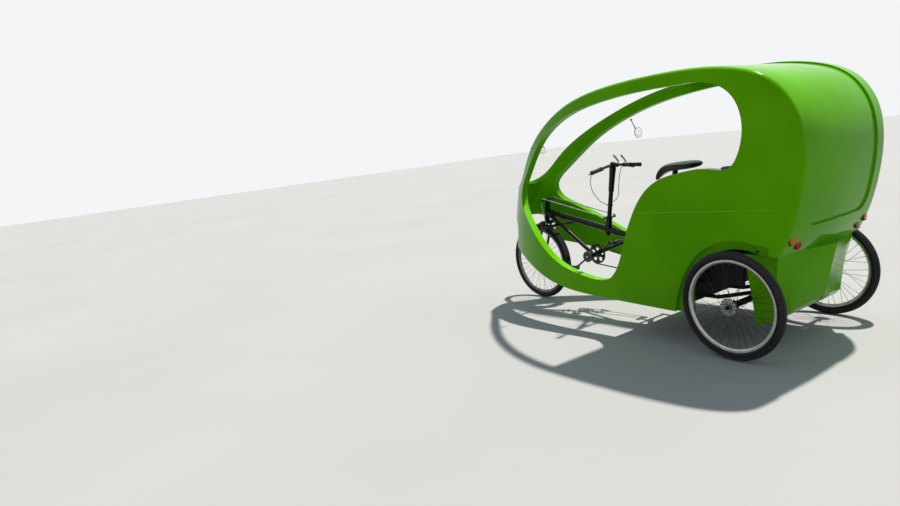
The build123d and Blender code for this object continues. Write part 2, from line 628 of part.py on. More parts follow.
def drive():
    """Crankset, pedals, the jackshaft ahead of the bench and the chain that joins them."""
    nodes = {}
    axis = Vector(CRANK[0], 0, CRANK[1])
    across = Vector(0, 1, 0)
    angle = math.radians(CRANK_ANGLE)
    reach = Vector(CRANK_ARM * math.cos(angle), 0, CRANK_ARM * math.sin(angle))
    crankset = rod(axis - across * (ARM_Y + 9), axis + across * (ARM_Y + 9), SPINDLE_R)
    for side in (1, -1):
        y = across * (side * ARM_Y)
        end = axis + reach * side
        crankset += rod(axis + y, end + y, 8)
        crankset += rod(axis + y - across * 9, axis + y + across * 9, 18)
        crankset += rod(end + y - across * 8, end + y + across * 8, 12)
        crankset += rod(end + y, end + across * (side * (PEDAL_OUT - 8)), 5)
    crankset += rod(axis + across * (ARM_Y + 5), axis + across * (ARM_Y + 18), 46)
    ring = rod(axis + across * (RING_Y - 2), axis + across * (RING_Y + 2), RING_R)
    for i in range(5):
        turn = math.radians(72 * i + 20)
        hole = axis + Vector(50 * math.cos(turn), RING_Y, 50 * math.sin(turn))
        ring -= rod(hole - across * 5, hole + across * 5, 18)
    nodes["crankset"] = crankset + ring
    pedal = box((-48, 48), (PEDAL_IN, PEDAL_OUT), (-12, 12))
    pedal -= rod((0, 0, 0), (0, PEDAL_OUT - 7.7, 0), 5 + RUN)
    for x in ((-38, -12), (12, 38)):
        pedal -= box(x, (PEDAL_IN + 10, PEDAL_OUT - 10), (-20, 20))
    nodes["left_pedal"] = Pos(*(axis + reach)) * pedal
    nodes["right_pedal"] = Pos(*(axis - reach)) * mirror_y(pedal)

    jack = Vector(JACK_AT[0], 0, JACK_AT[1])
    ends = [(*CRANK, RING_R + CHAIN_GAP), (*JACK_AT, JACK_R + CHAIN_GAP)]
    nodes["drive_chain"] = loop_round(ends, CHAIN_THICK, 0, RING_Y, CHAIN_WIDE)
    share = (JACK_AT[1] - SEAT_FOOT.Z) / (SEAT_TOP.Z - SEAT_FOOT.Z)
    carrier = SEAT_FOOT + (SEAT_TOP - SEAT_FOOT) * share
    jackshaft = rod(carrier, jack, 11) - rod(SEAT_FOOT, SEAT_TOP, SEAT_TUBE_R + SEAT_GAP)
    jackshaft += rod(jack - across * 28, jack + across * 28, 18)
    jackshaft += rod(jack + across * (RING_Y - 4), jack + across * 34, 8)
    jackshaft += rod(jack + across * (RING_Y - 2), jack + across * (RING_Y + 2), JACK_R)
    nodes["jackshaft"] = jackshaft
    return nodes


def small_parts():
    """Rear lamps and mirrors."""
    nodes = {}
    solid = rounded_outer()
    lamps = []
    for x, y, z, turn in LAMPS:
        away = Vector(-math.cos(math.radians(turn)), math.sin(math.radians(turn)), 0)
        lens = Vector(x, y, z)
        barrel = (rod(lens - away * LAMP_DEEP, lens, LAMP_R) - solid).solids()[0]
        barrel = Pos(*(away * SEAT_GAP)) * barrel
        lamps += [barrel, mirror_y(barrel)]
    nodes["tail_lamps"] = Compound(lamps)
    hoop = cab_block(HOOP_DEPTH + SEAT_GAP)
    for name, root, centre, radius in MIRRORS:
        root, centre = Vector(*root), Vector(*centre)
        disc = rod(centre - Vector(6, 0, 0), centre + Vector(6, 0, 0), radius)
        nodes[name] = (rod(root, centre, 5) & hoop) + disc
    return nodes


def main():
    os.makedirs("parts", exist_ok=True)
    nodes = {
        **cab(),
        "rear_box": rear_box(),
        **passenger_space(),
        **main_frame(),
        **steering(),
        **wheels(),
        **drive(),
        **small_parts(),
    }
    middle = origin_shift(nodes)
    print("middle of the length", middle)
    for node, shape in nodes.items():
        export_step(Pos(-middle, 0, 0) * shape, f"parts/{node}.step")
        print(node, len(shape.solids()), shape.is_valid)


if __name__ == "__main__":
    main()
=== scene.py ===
"""Looks of the cycle rickshaw: glossy green moulded cab, black frame, three spoked wheels.

Tables are in millimetres: ahead of the rear axle, left of the middle, above the ground. at() turns such a
place into metres of the frame.
"""

import json
import math

import bmesh
import bpy
from mathutils import Matrix, Vector
from mathutils.bvhtree import BVHTree


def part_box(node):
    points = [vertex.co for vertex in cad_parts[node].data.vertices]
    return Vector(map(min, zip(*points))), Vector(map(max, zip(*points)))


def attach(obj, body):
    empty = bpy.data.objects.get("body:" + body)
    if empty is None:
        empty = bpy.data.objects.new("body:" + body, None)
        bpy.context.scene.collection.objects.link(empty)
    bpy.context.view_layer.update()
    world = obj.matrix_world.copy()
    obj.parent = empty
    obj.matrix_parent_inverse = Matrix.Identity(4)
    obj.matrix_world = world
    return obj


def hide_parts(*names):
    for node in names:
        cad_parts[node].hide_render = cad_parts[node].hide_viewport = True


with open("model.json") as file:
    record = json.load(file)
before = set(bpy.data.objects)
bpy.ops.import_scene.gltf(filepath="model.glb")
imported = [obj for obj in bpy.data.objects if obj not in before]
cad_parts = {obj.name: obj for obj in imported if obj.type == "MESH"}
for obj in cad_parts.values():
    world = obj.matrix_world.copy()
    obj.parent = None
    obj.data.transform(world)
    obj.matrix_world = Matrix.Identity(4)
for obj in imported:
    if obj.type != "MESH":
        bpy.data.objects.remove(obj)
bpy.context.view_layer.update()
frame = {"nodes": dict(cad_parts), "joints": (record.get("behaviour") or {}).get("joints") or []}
MM = 0.001
FORWARD = Vector((1, 0, 0))
LEFT = Vector((0, 1, 0))
UP = Vector((0, 0, 1))

# The camera of the photograph
CAMERA_PLACE = (-2328.34, 4260.06, 1524.39)
CAMERA_YAW = -0.610003
CAMERA_PITCH = -0.159660
CAMERA_ROLL = -0.121478
LENS_MM = 27.15
SENSOR_MM = 36.0

# Sun: the way its light travels, its strength, softness and colour
SUN_WAY = (-0.05, 0.5, -1.0)
SUN_STRENGTH = 4.0
SUN_ANGLE = 0.03
SUN_COLOUR = (1.0, 0.94, 0.82)

# Sky: its strength, colour low down and high up, where these lie from 0 straight down to 1 straight up, and
# the plain background that the camera sees
SKY_STRENGTH = 0.30
SKY_ENDS = (0.45, 0.75)
SKY_LOW = (0.66, 0.72, 0.74)
SKY_HIGH = (0.80, 0.93, 1.0)
BACKGROUND = (0.90, 0.91, 0.92)

# Floor: half its side in metres, its greys, and its grey for the light that it throws up on the object
FLOOR_REACH = 40.0
FLOOR_GREYS = ((0.50, 0.51, 0.54), (0.53, 0.54, 0.57))
FLOOR_BOUNCE = (0.22, 0.22, 0.21)

# Steering, as in the source of the frame
TILT = 11.0
BAR_PLACE = (1354.9, 0.0, 1190.0)
BAR_INNER = (0.0, 62.0, 0.0)
BAR_OUTER = (-38.0, 292.0, -26.0)
BAR_R = 11.0
MAST_R = 18.2

# Grips: length, reach past the bar's end, radii of the sleeve, ribs and collars, and the ribs' pitch
GRIP_LONG = 120.0
GRIP_PAST_END = 2.0
GRIP_R = 15.0
GRIP_RIB_R = 15.9
GRIP_COLLAR_R = 17.0
GRIP_RIBS = 11
GRIP_RIB_PITCH = 9.0

# Gear shifters: places from the middle of the bar
SHIFTERS = [(-2, -50, 0), (-12, -126, -7)]

# Rod beside the head tube: its top, its foot and its radius
ROD_TOP = (2172, 52, 880)
ROD_FOOT = (2129, 56, 700)
ROD_R = 3.2

# Spokes: how many, their turn from hub to rim in degrees, where their holes lie, and their nipples
REAR_SPOKES = 36
FRONT_SPOKES = 32
SPOKE_LEAN = 52.0
FLANGE_HOLE_INSET = 4.0
FLANGE_END_INSET = 11.0
RIM_HOLE_SIDE = 3.0
NIPPLE_LONG = 13.0
NIPPLE_RADII = [2.4, 2.0, 1.5]
VALVE_TURN = 80.0

# Hubs: radius of the axle's grey end, radius inside which the metal is black, inner and outer flange radius
AXLE_END_R = 22.0
REAR_BLACK_R = 57.0
FRONT_BLACK_R = 10.0
REAR_FLANGES = (30, 55)
FRONT_FLANGES = (27, 27)

# Brake discs: rings of holes, and how far the disc's face and the axle's nut lie inside the hub's end
DISC_RINGS = [
    # inner radius, outer radius, radius of the holes, shift round the disc as a share of their pitch
    (25, 39, 5.2, 0.0), (39, 54, 5.8, 0.5),
]
DISC_HOLES = 12
DISC_R = 54
DISC_BORE_R = 24.6
DISC_THICK = 1.8
DISC_INSET = 8
DISC_BOLTS = 5
DISC_BOLT_R = 21
AXLE_NUT_INSET = 6

# Tyres: depth from tread to bead as a share of the width, the casing's inset in the CAD tyre, the tread's gap
# above the ground, and the rib on the wall with its turn round the section
SEAT_SHARE = 0.94
CASING_INSET = 0.6
GROUND_GAP = 0.2
WALL_RIB = 0.7
WALL_RIB_TURN = 103
SECTION_TURNS = (124, 112, 106, WALL_RIB_TURN, 100, 88, 74, 58, 42, 26, 12, 0)

# Knobs of the tyres' tread: their root in the casing, taper and pitch, and rows of turn round the section,
# width, length, height and shift along as a share of the pitch
KNOB_ROOT = 0.5
KNOB_TAPER = 0.78
REAR_PITCH = 22.0
FRONT_PITCH = 15.0
REAR_TREAD = [
    (-9, 10, 13, 5.0, 0.0), (9, 10, 13, 5.0, 0.5), (-31, 8, 12, 5.0, 0.55), (31, 8, 12, 5.0, 0.05),
    (-54, 9, 15, 5.0, 0.05), (54, 9, 15, 5.0, 0.55), (-72, 8, 8, 3.6, 0.55), (72, 8, 8, 3.6, 0.05),
]
FRONT_TREAD = [
    (-9, 6, 11, 1.8, 0.0), (9, 6, 11, 1.8, 0.5), (-30, 6, 9, 1.6, 0.5), (30, 6, 9, 1.6, 0.0),
    (-50, 5, 8, 1.2, 0.0), (50, 5, 8, 1.2, 0.5),
]

# Chain: the sprockets it runs round, and its height, link length, plates and rollers
JACK_PLACE = (1085.0, 0.0, 335.0)
CHAIN_Y = -48.0
RING_R = 82.8
JACK_R = 30.8
CHAIN_HEIGHT = 9.0
LINK_LONG = 12.7
ARC_STEPS = 60
PLATE_R = 4.3
PLATE_THICK = 0.9
INNER_PLATE_Y = 1.9
OUTER_PLATE_Y = 3.0
PIN_R = 1.8
PIN_HALF = 3.9
ROLLER_R = 3.6

# Crank: bolts of the chainring, and the nuts on the crank arms' faces, left and right
RING_BOLTS = 5
RING_BOLT_R = 60
RING_BOLT_Y = -50
RING_BOLT_TURN = 56
ARM_NUT_Y = {1: 85, -1: -76}

# Pins of the pedals: places from the middle of the pedal, ahead, along the spindle and above
PEDAL_PIN_X = 44
PEDAL_PIN_PITCH = 11
PEDAL_PIN_Z = 12

# Saddle sections: place along, half width, underside, top, dip along its middle
SADDLE = [
    (575, 50, 1160, 1180, 0), (588, 72, 1150, 1189, 1), (625, 88, 1138, 1196, 3), (700, 91, 1133, 1195, 4),
    (785, 70, 1129, 1190, 3), (850, 45, 1118, 1178, 1), (900, 33, 1092, 1150, 0), (930, 27, 1064, 1108, 0),
    (939, 18, 1060, 1082, 0),
]
SADDLE_SIDES = 28
WELT_R = 1.6

# Mirrors: foot of the stem, middle of the glass, radius
MIRRORS = [
    ("left", (1933, 318, 1397), (1933, 204, 1372), 32),
    ("right", (1520, -468, 1533), (1389, -380, 1423), 45),
]
MIRROR_STEM_R = 4.0

# Faint moulding line along each side, the screws above the wheels, and where rays at the sides start
SIDE_LINE = [(790, 893), (700, 897), (560, 903), (400, 908), (210, 912), (0, 916), (-120, 919), (-250, 921)]
SIDE_LINE_R = 2.2
SIDE_SCREWS = [(-125, 671)]
OUTSIDE_Y = 900

# Lip where the shell ends above the lower back: the point it turns round, radius, and turns in degrees
LIP_CENTRE = (60, 0, 648)
LIP_R = 4.0
LIP_START = 118
LIP_SPAN = 124
LIP_STEPS = 60

# Lamps on the lower back: place of the lens and turn from straight back, for the left side
LAMPS = [
    # name, x, y, z, turn
    ("inner", -310, 374, 697, 6),
    ("outer", -323, 455, 734, 8),
]
LAMP_R = 30.0
LAMP_DEEP = 46.0
LENS_STEPS = 5

# Cushions: grain of their mesh, rounded edge, reach of a seam as a share of the grain, how far a point may
# move and may stand past the CAD cushion, and the simulation's pressure and frames
VOXEL = 9.0
CUSHION_EDGE = 24
SEAM_REACH = 0.6
CUSHION_CAP = 14
CUSHION_PROUD = 4
PRESSURE = 4.0
CLOTH_FRAMES = 20

# Cushions seen from the left, half their width, and the lines that sewing holds down
SEAT_SECTION = [(-48, 712), (458, 712), (458, 788), (-48, 788)]
SEAT_HALF_WIDE = 413
SEAT_SEAMS = [((x, 700), (x, 800)) for x in (85, 205, 325)]
BACK_SECTION = [(-124, 734), (-68, 812), (20, 812), (-120, 1286), (-222, 1278)]
BACK_HALF_WIDE = 408
BACK_SEAMS = [((-200, z - 20), (60, z + 20)) for z in (930, 1050, 1170)]

# Blue pads beside the backrest: start, length, height of the middle, height where the wall behind is found,
# half the height and half the thickness
ARM_PAD_START = -40
ARM_PAD_LONG = 158
ARM_PAD_Z = 1143
ARM_PAD_WALL_Z = 1130
ARM_PAD_HALF_HIGH = 40
ARM_PAD_HALF_THICK = 18
ARM_PAD_STEPS = 8
ARM_PAD_SIDES = 20

# Ribs of the floor's mat: pitch, width, height, bare edge on both sides together, and root in the mat
RIB_PITCH = 18
RIB_WIDE = 6
RIB_HIGH = 2.2
RIB_BARE = 110
RIB_ROOT = 0.2


def middle(node):
    low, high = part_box(node)
    return (low + high) / 2


REAR_AXLE = middle("left_tyre")
CRANK_AXLE = Vector(next(joint["pos_m"] for joint in frame["joints"] if joint["name"] == "crank_turn"))


def at(x, y, z):
    """Point of the frame from the tables' millimetres."""
    return Vector((REAR_AXLE.x + x * MM, y * MM, z * MM))


def around(centre, radius, turn, y=0.0):
    """Point at a radius and a turn round an axle, y to the left; millimetres and radians."""
    return centre + Vector((radius * math.cos(turn), y, radius * math.sin(turn))) * MM


# Materials

def new_material(name, colour, roughness=0.5, metallic=0.0):
    made = bpy.data.materials.new(name)
    made.use_nodes = True
    shader = made.node_tree.nodes["Principled BSDF"]
    shader.inputs["Base Color"].default_value = (*colour, 1)
    shader.inputs["Roughness"].default_value = roughness
    shader.inputs["Metallic"].default_value = metallic
    return made


def add_node(made, kind, **inputs):
    node = made.node_tree.nodes.new(kind)
    for name, value in inputs.items():
        node.inputs[name.replace("_", " ")].default_value = value
    return node


def link(made, source, target):
    made.node_tree.links.new(source, target)


def shader_input(made, name):
    return made.node_tree.nodes["Principled BSDF"].inputs[name]


def object_place(made):
    return add_node(made, "ShaderNodeTexCoord").outputs["Object"]


def noise(made, grain, detail=4.0):
    """Noise whose lumps are about grain millimetres across."""
    made_noise = add_node(made, "ShaderNodeTexNoise", Scale=1000.0 / grain, Detail=detail)
    link(made, object_place(made), made_noise.inputs["Vector"])
    return made_noise.outputs["Fac"]


def ramp(made, source, stops):
    """Colour ramp from two (place, colour) stops."""
    node = add_node(made, "ShaderNodeValToRGB")
    for element, (place, colour) in zip(node.color_ramp.elements, stops):
        element.position = place
        element.color = (*colour, 1)
    link(made, source, node.inputs["Fac"])
    return node.outputs["Color"]


def value_range(made, source, start, end, low=0.0, high=1.0):
    """Value that runs from low to high as the source runs from start to end."""
    node = add_node(made, "ShaderNodeMapRange", From_Min=start, From_Max=end, To_Min=low, To_Max=high)
    link(made, source, node.inputs["Value"])
    return node.outputs["Result"]


def spread(made, source, low, high):
    """Noise moved from its usual 0.3 to 0.7 into low to high."""
    return value_range(made, source, 0.3, 0.7, low, high)


def blend_colour(made, share, first, second):
    """Mix two colours, each a socket or plain numbers."""
    node = add_node(made, "ShaderNodeMix")
    node.data_type = "RGBA"
    link(made, share, node.inputs["Factor"])
    for socket, value in ((node.inputs[6], first), (node.inputs[7], second)):
        if isinstance(value, tuple):
            socket.default_value = (*value, 1)
        else:
            link(made, value, socket)
    return node.outputs[2]


def calculate(made, operation, first, second):
    node = add_node(made, "ShaderNodeMath")
    node.operation = operation
    for socket, value in zip(node.inputs, (first, second)):
        if isinstance(value, (int, float)):
            socket.default_value = value
        else:
            link(made, value, socket)
    return node.outputs["Value"]


def calculate_place(made, operation, place, other=(0, 0, 0)):
    node = add_node(made, "ShaderNodeVectorMath")
    node.operation = operation
    node.inputs[1].default_value = other
    link(made, place, node.inputs[0])
    return node.outputs


def bump(made, height, strength, distance):
    """Bump of this strength, with a height of distance millimetres."""
    node = add_node(made, "ShaderNodeBump", Strength=strength, Distance=distance * MM)
    link(made, height, node.inputs["Height"])
    link(made, node.outputs["Normal"], shader_input(made, "Normal"))


def upward_part(made, place):
    """Third coordinate of a place or a normal."""
    node = add_node(made, "ShaderNodeSeparateXYZ")
    link(made, place, node.inputs["Vector"])
    return node.outputs["Z"]


def worn(name, colour, other, grain, rough, bump_grain=None, bump_high=0.2, metallic=0.0):
    """Colour and roughness that drift with one noise, and a fine bump; grains and bump in millimetres."""
    made = new_material(name, colour, metallic=metallic)
    drift = noise(made, grain, 6.0)
    link(made, ramp(made, drift, [(0.38, colour), (0.66, other)]), shader_input(made, "Base Color"))
    link(made, spread(made, drift, *rough), shader_input(made, "Roughness"))
    if bump_grain:
        bump(made, noise(made, bump_grain, 3.0), 0.6, bump_high)
    return made


def paint():
    """Glossy green gel coat with a slight drift of colour, fine ripple and street dust low down."""
    made = new_material("cab_paint", (0.155, 0.61, 0.002))
    shader_input(made, "IOR").default_value = 1.17
    shader_input(made, "Specular Tint").default_value = (0.45, 1.0, 0.12, 1)
    dust_top, dust_full = 0.48, 0.20
    drift = noise(made, 420, 3.0)
    green = ramp(made, drift, [(0.35, (0.145, 0.57, 0.002)), (0.65, (0.185, 0.65, 0.003))])
    low = value_range(made, upward_part(made, object_place(made)), dust_top, dust_full)
    dust = calculate(made, "MULTIPLY", low, spread(made, noise(made, 90, 4.0), 0.0, 0.20))
    link(made, blend_colour(made, dust, green, (0.26, 0.34, 0.12)), shader_input(made, "Base Color"))
    gloss = calculate(made, "ADD", spread(made, noise(made, 160, 6.0), 0.08, 0.16), dust)
    link(made, gloss, shader_input(made, "Roughness"))
    bump(made, noise(made, 170, 0.0), 0.25, 3.0)
    return made


def tyre_rubber():
    made = worn("tyre_rubber", (0.008, 0.008, 0.010), (0.018, 0.018, 0.020), 45, (0.55, 0.75), 2.5, 0.3)
    shader_input(made, "Specular IOR Level").default_value = 0.25
    return made


def wheel_metal(name, centre, black_r):
    """Blackened flanges inside black_r, grey axle end and dark spokes."""
    made = new_material(name, (0.03, 0.03, 0.033), 0.35, 0.7)
    shift = calculate_place(made, "SUBTRACT", object_place(made), centre)["Vector"]
    flat = calculate_place(made, "MULTIPLY", shift, (1, 0, 1))["Vector"]
    radius = calculate_place(made, "LENGTH", flat)["Value"]
    flange = calculate(made, "LESS_THAN", radius, black_r * MM)
    black = ramp(made, noise(made, 9, 4.0), [(0.35, (0.012, 0.012, 0.013)), (0.65, (0.03, 0.03, 0.03))])
    shell = blend_colour(made, flange, (0.022, 0.022, 0.024), black)
    axle = calculate(made, "LESS_THAN", radius, AXLE_END_R * MM)
    link(made, blend_colour(made, axle, shell, (0.20, 0.20, 0.21)), shader_input(made, "Base Color"))
    link(made, spread(made, noise(made, 20, 4.0), 0.28, 0.42), shader_input(made, "Roughness"))
    return made


def weave(name, warp, weft, pitch):
    """Woven cloth: threads of two colours that pass over and under each other every pitch millimetres."""
    made = new_material(name, warp, 0.85)
    shader_input(made, "Sheen Weight").default_value = 0.35
    shader_input(made, "Sheen Roughness").default_value = 0.4
    waves = []
    for direction in ("X", "Y", "Z"):
        wave = add_node(made, "ShaderNodeTexWave", Scale=160.0 / pitch)
        wave.bands_direction = direction
        link(made, object_place(made), wave.inputs["Vector"])
        waves.append(wave.outputs["Fac"])
    flat = calculate(made, "MULTIPLY", waves[0], waves[1])
    height = calculate(made, "ADD", flat, calculate(made, "MULTIPLY", waves[2], 0.5))
    drift = noise(made, 90, 5.0)
    tone = calculate(made, "MULTIPLY", height, spread(made, drift, 0.5, 1.0))
    link(made, blend_colour(made, tone, weft, warp), shader_input(made, "Base Color"))
    bump(made, height, 0.5, 0.4)
    return made


def saddle_leather():
    """Black leather with a painted highlight: its upward-facing top is painted pale where sunlight falls on
    it.
    """
    made = new_material("saddle_leather", (0.02, 0.02, 0.02), 0.4)
    # Black is the leather's own colour; pale is the painted sunlit highlight on its top.
    black, pale = (0.004, 0.004, 0.005), (0.88, 0.88, 0.86)
    facing = add_node(made, "ShaderNodeNewGeometry")
    # Painted highlight: the more a face turns upward, the paler it is painted.
    painted_highlight_share = value_range(made, upward_part(made, facing.outputs["Normal"]), 0.42, 0.70)
    drift = noise(made, 35, 5.0)
    share = calculate(made, "MULTIPLY", painted_highlight_share, spread(made, drift, 0.75, 1.0))
    link(made, blend_colour(made, share, black, pale), shader_input(made, "Base Color"))
    link(made, spread(made, drift, 0.40, 0.55), shader_input(made, "Roughness"))
    shader_input(made, "Specular IOR Level").default_value = 0.3
    bump(made, noise(made, 2.2, 3.0), 0.6, 0.25)
    return made


PAINT = paint()
BLACK_PAINT = worn("frame_paint", (0.003, 0.003, 0.005), (0.009, 0.009, 0.013), 60, (0.12, 0.26), 6, 0.05)
shader_input(BLACK_PAINT, "IOR").default_value = 1.33
RUBBER = tyre_rubber()
# Knob rubber is lighter and bluer than the casing: partly wear, partly painted highlight and sky reflection
# on the knobs.
KNOB_RUBBER_PAINTED_LIGHT = worn("knob_rubber_painted_light", (0.016, 0.017, 0.022), (0.040, 0.040, 0.044), 30, (0.45, 0.65), 1.5, 0.1)
RIM_METAL = worn("rim_metal", (0.50, 0.50, 0.51), (0.62, 0.62, 0.63), 30, (0.30, 0.44), metallic=0.6)
DISC_STEEL = worn("disc_steel", (0.26, 0.26, 0.27), (0.40, 0.40, 0.41), 14, (0.28, 0.42), metallic=0.7)
STEEL = worn("bright_steel", (0.55, 0.55, 0.56), (0.70, 0.70, 0.71), 12, (0.22, 0.36), metallic=1.0)
LINK_STEEL = worn("link_steel", (0.46, 0.47, 0.45), (0.58, 0.58, 0.56), 25, (0.25, 0.40), metallic=0.5)
DULL_RIM = worn("dull_rim", (0.13, 0.125, 0.12), (0.22, 0.21, 0.20), 30, (0.35, 0.50), metallic=0.6)
DARK_STEEL = worn("dark_steel", (0.05, 0.05, 0.05), (0.11, 0.10, 0.09), 8, (0.30, 0.50), metallic=0.8)
PLASTIC = worn("black_plastic", (0.014, 0.014, 0.015), (0.03, 0.03, 0.03), 20, (0.38, 0.55), 1.2, 0.08)
PALE_PLASTIC = worn("pale_plastic", (0.80, 0.80, 0.78), (0.90, 0.90, 0.88), 20, (0.30, 0.45), 1.5, 0.05)
GRIP = worn("grip_rubber", (0.014, 0.014, 0.014), (0.03, 0.03, 0.03), 10, (0.65, 0.85), 1.0, 0.15)
LEATHER = saddle_leather()
CLOTH = weave("seat_cloth", (0.020, 0.065, 0.22), (0.010, 0.028, 0.10), 3.0)
BOARD = worn("painted_board", (0.006, 0.006, 0.007), (0.016, 0.016, 0.016), 80, (0.55, 0.75), 5, 0.15)
shader_input(BOARD, "Specular IOR Level").default_value = 0.2
# Lighter green than the cab's paint: the moulding line's painted highlight.
PAINTED_LINE_HIGHLIGHT = worn("painted_line_highlight", (0.20, 0.68, 0.006), (0.26, 0.76, 0.010), 40, (0.15, 0.30))
VINYL = worn("blue_vinyl", (0.012, 0.09, 0.42), (0.020, 0.12, 0.52), 60, (0.35, 0.5), 1.5, 0.1)
MAT = worn("floor_mat", (0.03, 0.03, 0.03), (0.09, 0.08, 0.07), 70, (0.6, 0.85), 3, 0.2)
AMBER = worn("amber_lens", (0.78, 0.22, 0.004), (0.86, 0.29, 0.008), 12, (0.16, 0.26))
RED = worn("red_lens", (0.46, 0.006, 0.003), (0.58, 0.012, 0.005), 12, (0.16, 0.26))
for lens_material in (AMBER, RED):
    shader_input(lens_material, "IOR").default_value = 1.25
GLASS = new_material("mirror_glass", (0.86, 0.88, 0.90), 0.03, 1.0)

NODE_MATERIALS = [
    (PAINT, ["cab_side_left", "cab_side_right", "nose_panel", "roof_back", "rear_box"]),
    (BLACK_PAINT, [
        "head_tube", "main_tube", "down_tube", "bracket_stay", "seat_mast", "frame_rails", "axle_beam",
        "nose_support", "mast_bearing", "mast", "handlebar", "fork", "front_mudguard", "jackshaft"]),
    (LINK_STEEL, ["link_left", "link_right"]),
    (RIM_METAL, ["left_rim", "right_rim"]),
    (DULL_RIM, ["front_rim"]),
    (DARK_STEEL, ["crankset"]),
    (PLASTIC, ["brake_levers", "left_pedal", "right_pedal"]),
    (BOARD, ["bench_base", "backrest_board"]),
    (MAT, ["floor_tray"]),
]


def dress(made, *nodes):
    for node in nodes:
        slots = frame["nodes"][node].data.materials
        slots.clear()
        slots.append(made)


# Shapes

def bulge(value, power):
    """Power of a sine or cosine that keeps its sign: below 1 it squares a round section."""
    return math.copysign(abs(value) ** power, value)


def cross_ways(way):
    """Two unit vectors at right angles to way and to each other."""
    side = way.orthogonal().normalized()
    return side, way.cross(side)


def circle(centre, side, other, radius, count, start=0.0, end=360.0):
    """Points of an arc, ends included unless it is a full turn; radius in millimetres."""
    steps = count if abs(end - start) >= 360.0 else count - 1
    points = []
    for i in range(count):
        turn = math.radians(start + (end - start) * i / steps)
        points.append(centre + (side * math.cos(turn) + other * math.sin(turn)) * radius * MM)
    return points


def smooth_path(points, steps):
    """Curve through the points, with this many steps between each two."""
    path = []
    count = len(points)
    for i in range(count - 1):
        a, b = points[max(i - 1, 0)], points[i]
        c, d = points[i + 1], points[min(i + 2, count - 1)]
        for j in range(steps):
            t = j / steps
            path.append(
                0.5 * ((2 * b) + (c - a) * t + (2 * a - 5 * b + 4 * c - d) * t * t
                       + (3 * b - a - 3 * c + d) * t * t * t))
    path.append(points[-1])
    return path


class Shape:
    """Mesh in metres that grows by simple forms and then becomes one piece."""

    def __init__(self):
        self.points = []
        self.faces = []

    def grid(self, rings):
        """Quads between closed rings that have as many points each."""
        first = len(self.points)
        sides = len(rings[0])
        for ring in rings:
            self.points.extend(ring)
        for i in range(len(rings) - 1):
            for j in range(sides):
                here, there = first + i * sides, first + (i + 1) * sides
                step = (j + 1) % sides
                self.faces.append((here + j, here + step, there + step, there + j))

    def loft(self, rings):
        """Quads between rings, with flat faces on the first and the last."""
        first = len(self.points)
        sides = len(rings[0])
        last = first + (len(rings) - 1) * sides
        self.faces.append(tuple(range(first, first + sides))[::-1])
        self.faces.append(tuple(range(last, last + sides)))
        self.grid(rings)

    def lathe(self, profile, origin, axis, steps=48):
        """Turn (radius, height) points in millimetres round an axis through origin."""
        axis = Vector(axis).normalized()
        side, other = cross_ways(axis)
        self.grid([circle(origin + axis * up * MM, side, other, radius, steps) for radius, up in profile])

    def tube(self, path, radius, sides=12):
        """Round bar along points in metres, with flat ends; radius in millimetres, one or a list."""
        path = [Vector(point) for point in path]
        rings = []
        side = None
        for i, point in enumerate(path):
            way = (path[min(i + 1, len(path) - 1)] - path[max(i - 1, 0)]).normalized()
            side = way.orthogonal() if side is None else side - way * side.dot(way)
            side.normalize()
            size = radius[i] if isinstance(radius, list) else radius
            rings.append(circle(point, side, way.cross(side), size, sides))
        self.loft(rings)

    def block(self, origin, axes, size, taper=1.0, base=True):
        """Block that stands on origin along axes[2]; sizes in millimetres; taper narrows its top."""
        across, along, up = axes
        first = len(self.points)
        for level, share in ((0.0, 1.0), (1.0, taper)):
            for i, j in ((-1, -1), (1, -1), (1, 1), (-1, 1)):
                self.points.append(
                    origin + across * (i * size[0] / 2 * share * MM) + along * (j * size[1] / 2 * share * MM)
                    + up * (level * size[2] * MM))
        self.faces.append((first + 4, first + 5, first + 6, first + 7))
        for j in range(4):
            step = (j + 1) % 4
            self.faces.append((first + j, first + step, first + 4 + step, first + 4 + j))
        if base:
            self.faces.append((first + 3, first + 2, first + 1, first))

    def plate(self, outline, thick_way):
        """Flat plate from an outline in metres, as thick as the vector thick_way."""
        self.loft([outline, [point + thick_way for point in outline]])

    def make(self, name, made, sharp=35.0):
        """Turn the shape into an object whose edges are sharp above this angle."""
        mesh = bpy.data.meshes.new(name)
        mesh.from_pydata(self.points, [], self.faces)
        work = bmesh.new()
        work.from_mesh(mesh)
        bmesh.ops.remove_doubles(work, verts=work.verts, dist=1e-6)
        bmesh.ops.recalc_face_normals(work, faces=work.faces)
        for face in work.faces:
            face.smooth = True
        for edge in work.edges:
            edge.smooth = edge.calc_face_angle(0.0) <= math.radians(sharp)
        work.to_mesh(mesh)
        work.free()
        mesh.materials.append(made)
        thing = bpy.data.objects.new(name, mesh)
        bpy.context.collection.objects.link(thing)
        return thing

    def piece(self, name, made, body, slot, replaces=(), sharp=35.0):
        """Turn the shape into an object that rides on a body."""
        thing = self.make(name, made, sharp)
        settle(thing, body, replaces)
        return thing


def settle(thing, body, replaces=()):
    """Ride on a body, and hide the CAD nodes that the piece stands for."""
    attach(thing, body)
    if replaces:
        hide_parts(*replaces)


def round_off(thing):
    """Subdivide the object once."""
    smoother = thing.modifiers.new("round", "SUBSURF")
    smoother.levels = smoother.render_levels = 1


def hexagon_bolt(shape, centre, way, across, high):
    """Bolt head with its washer, standing on centre along way."""
    washer_r, washer_thick, head_r = across * 0.72, 1.2, across * 0.56
    way = way.normalized()
    side, other = cross_ways(way)
    shape.lathe([(0, 0), (washer_r, 0), (washer_r, washer_thick), (0, washer_thick)], centre, way, 16)
    shape.plate(circle(centre + way * washer_thick * MM, side, other, head_r, 6), way * high * MM)


# Camera, floor and lights

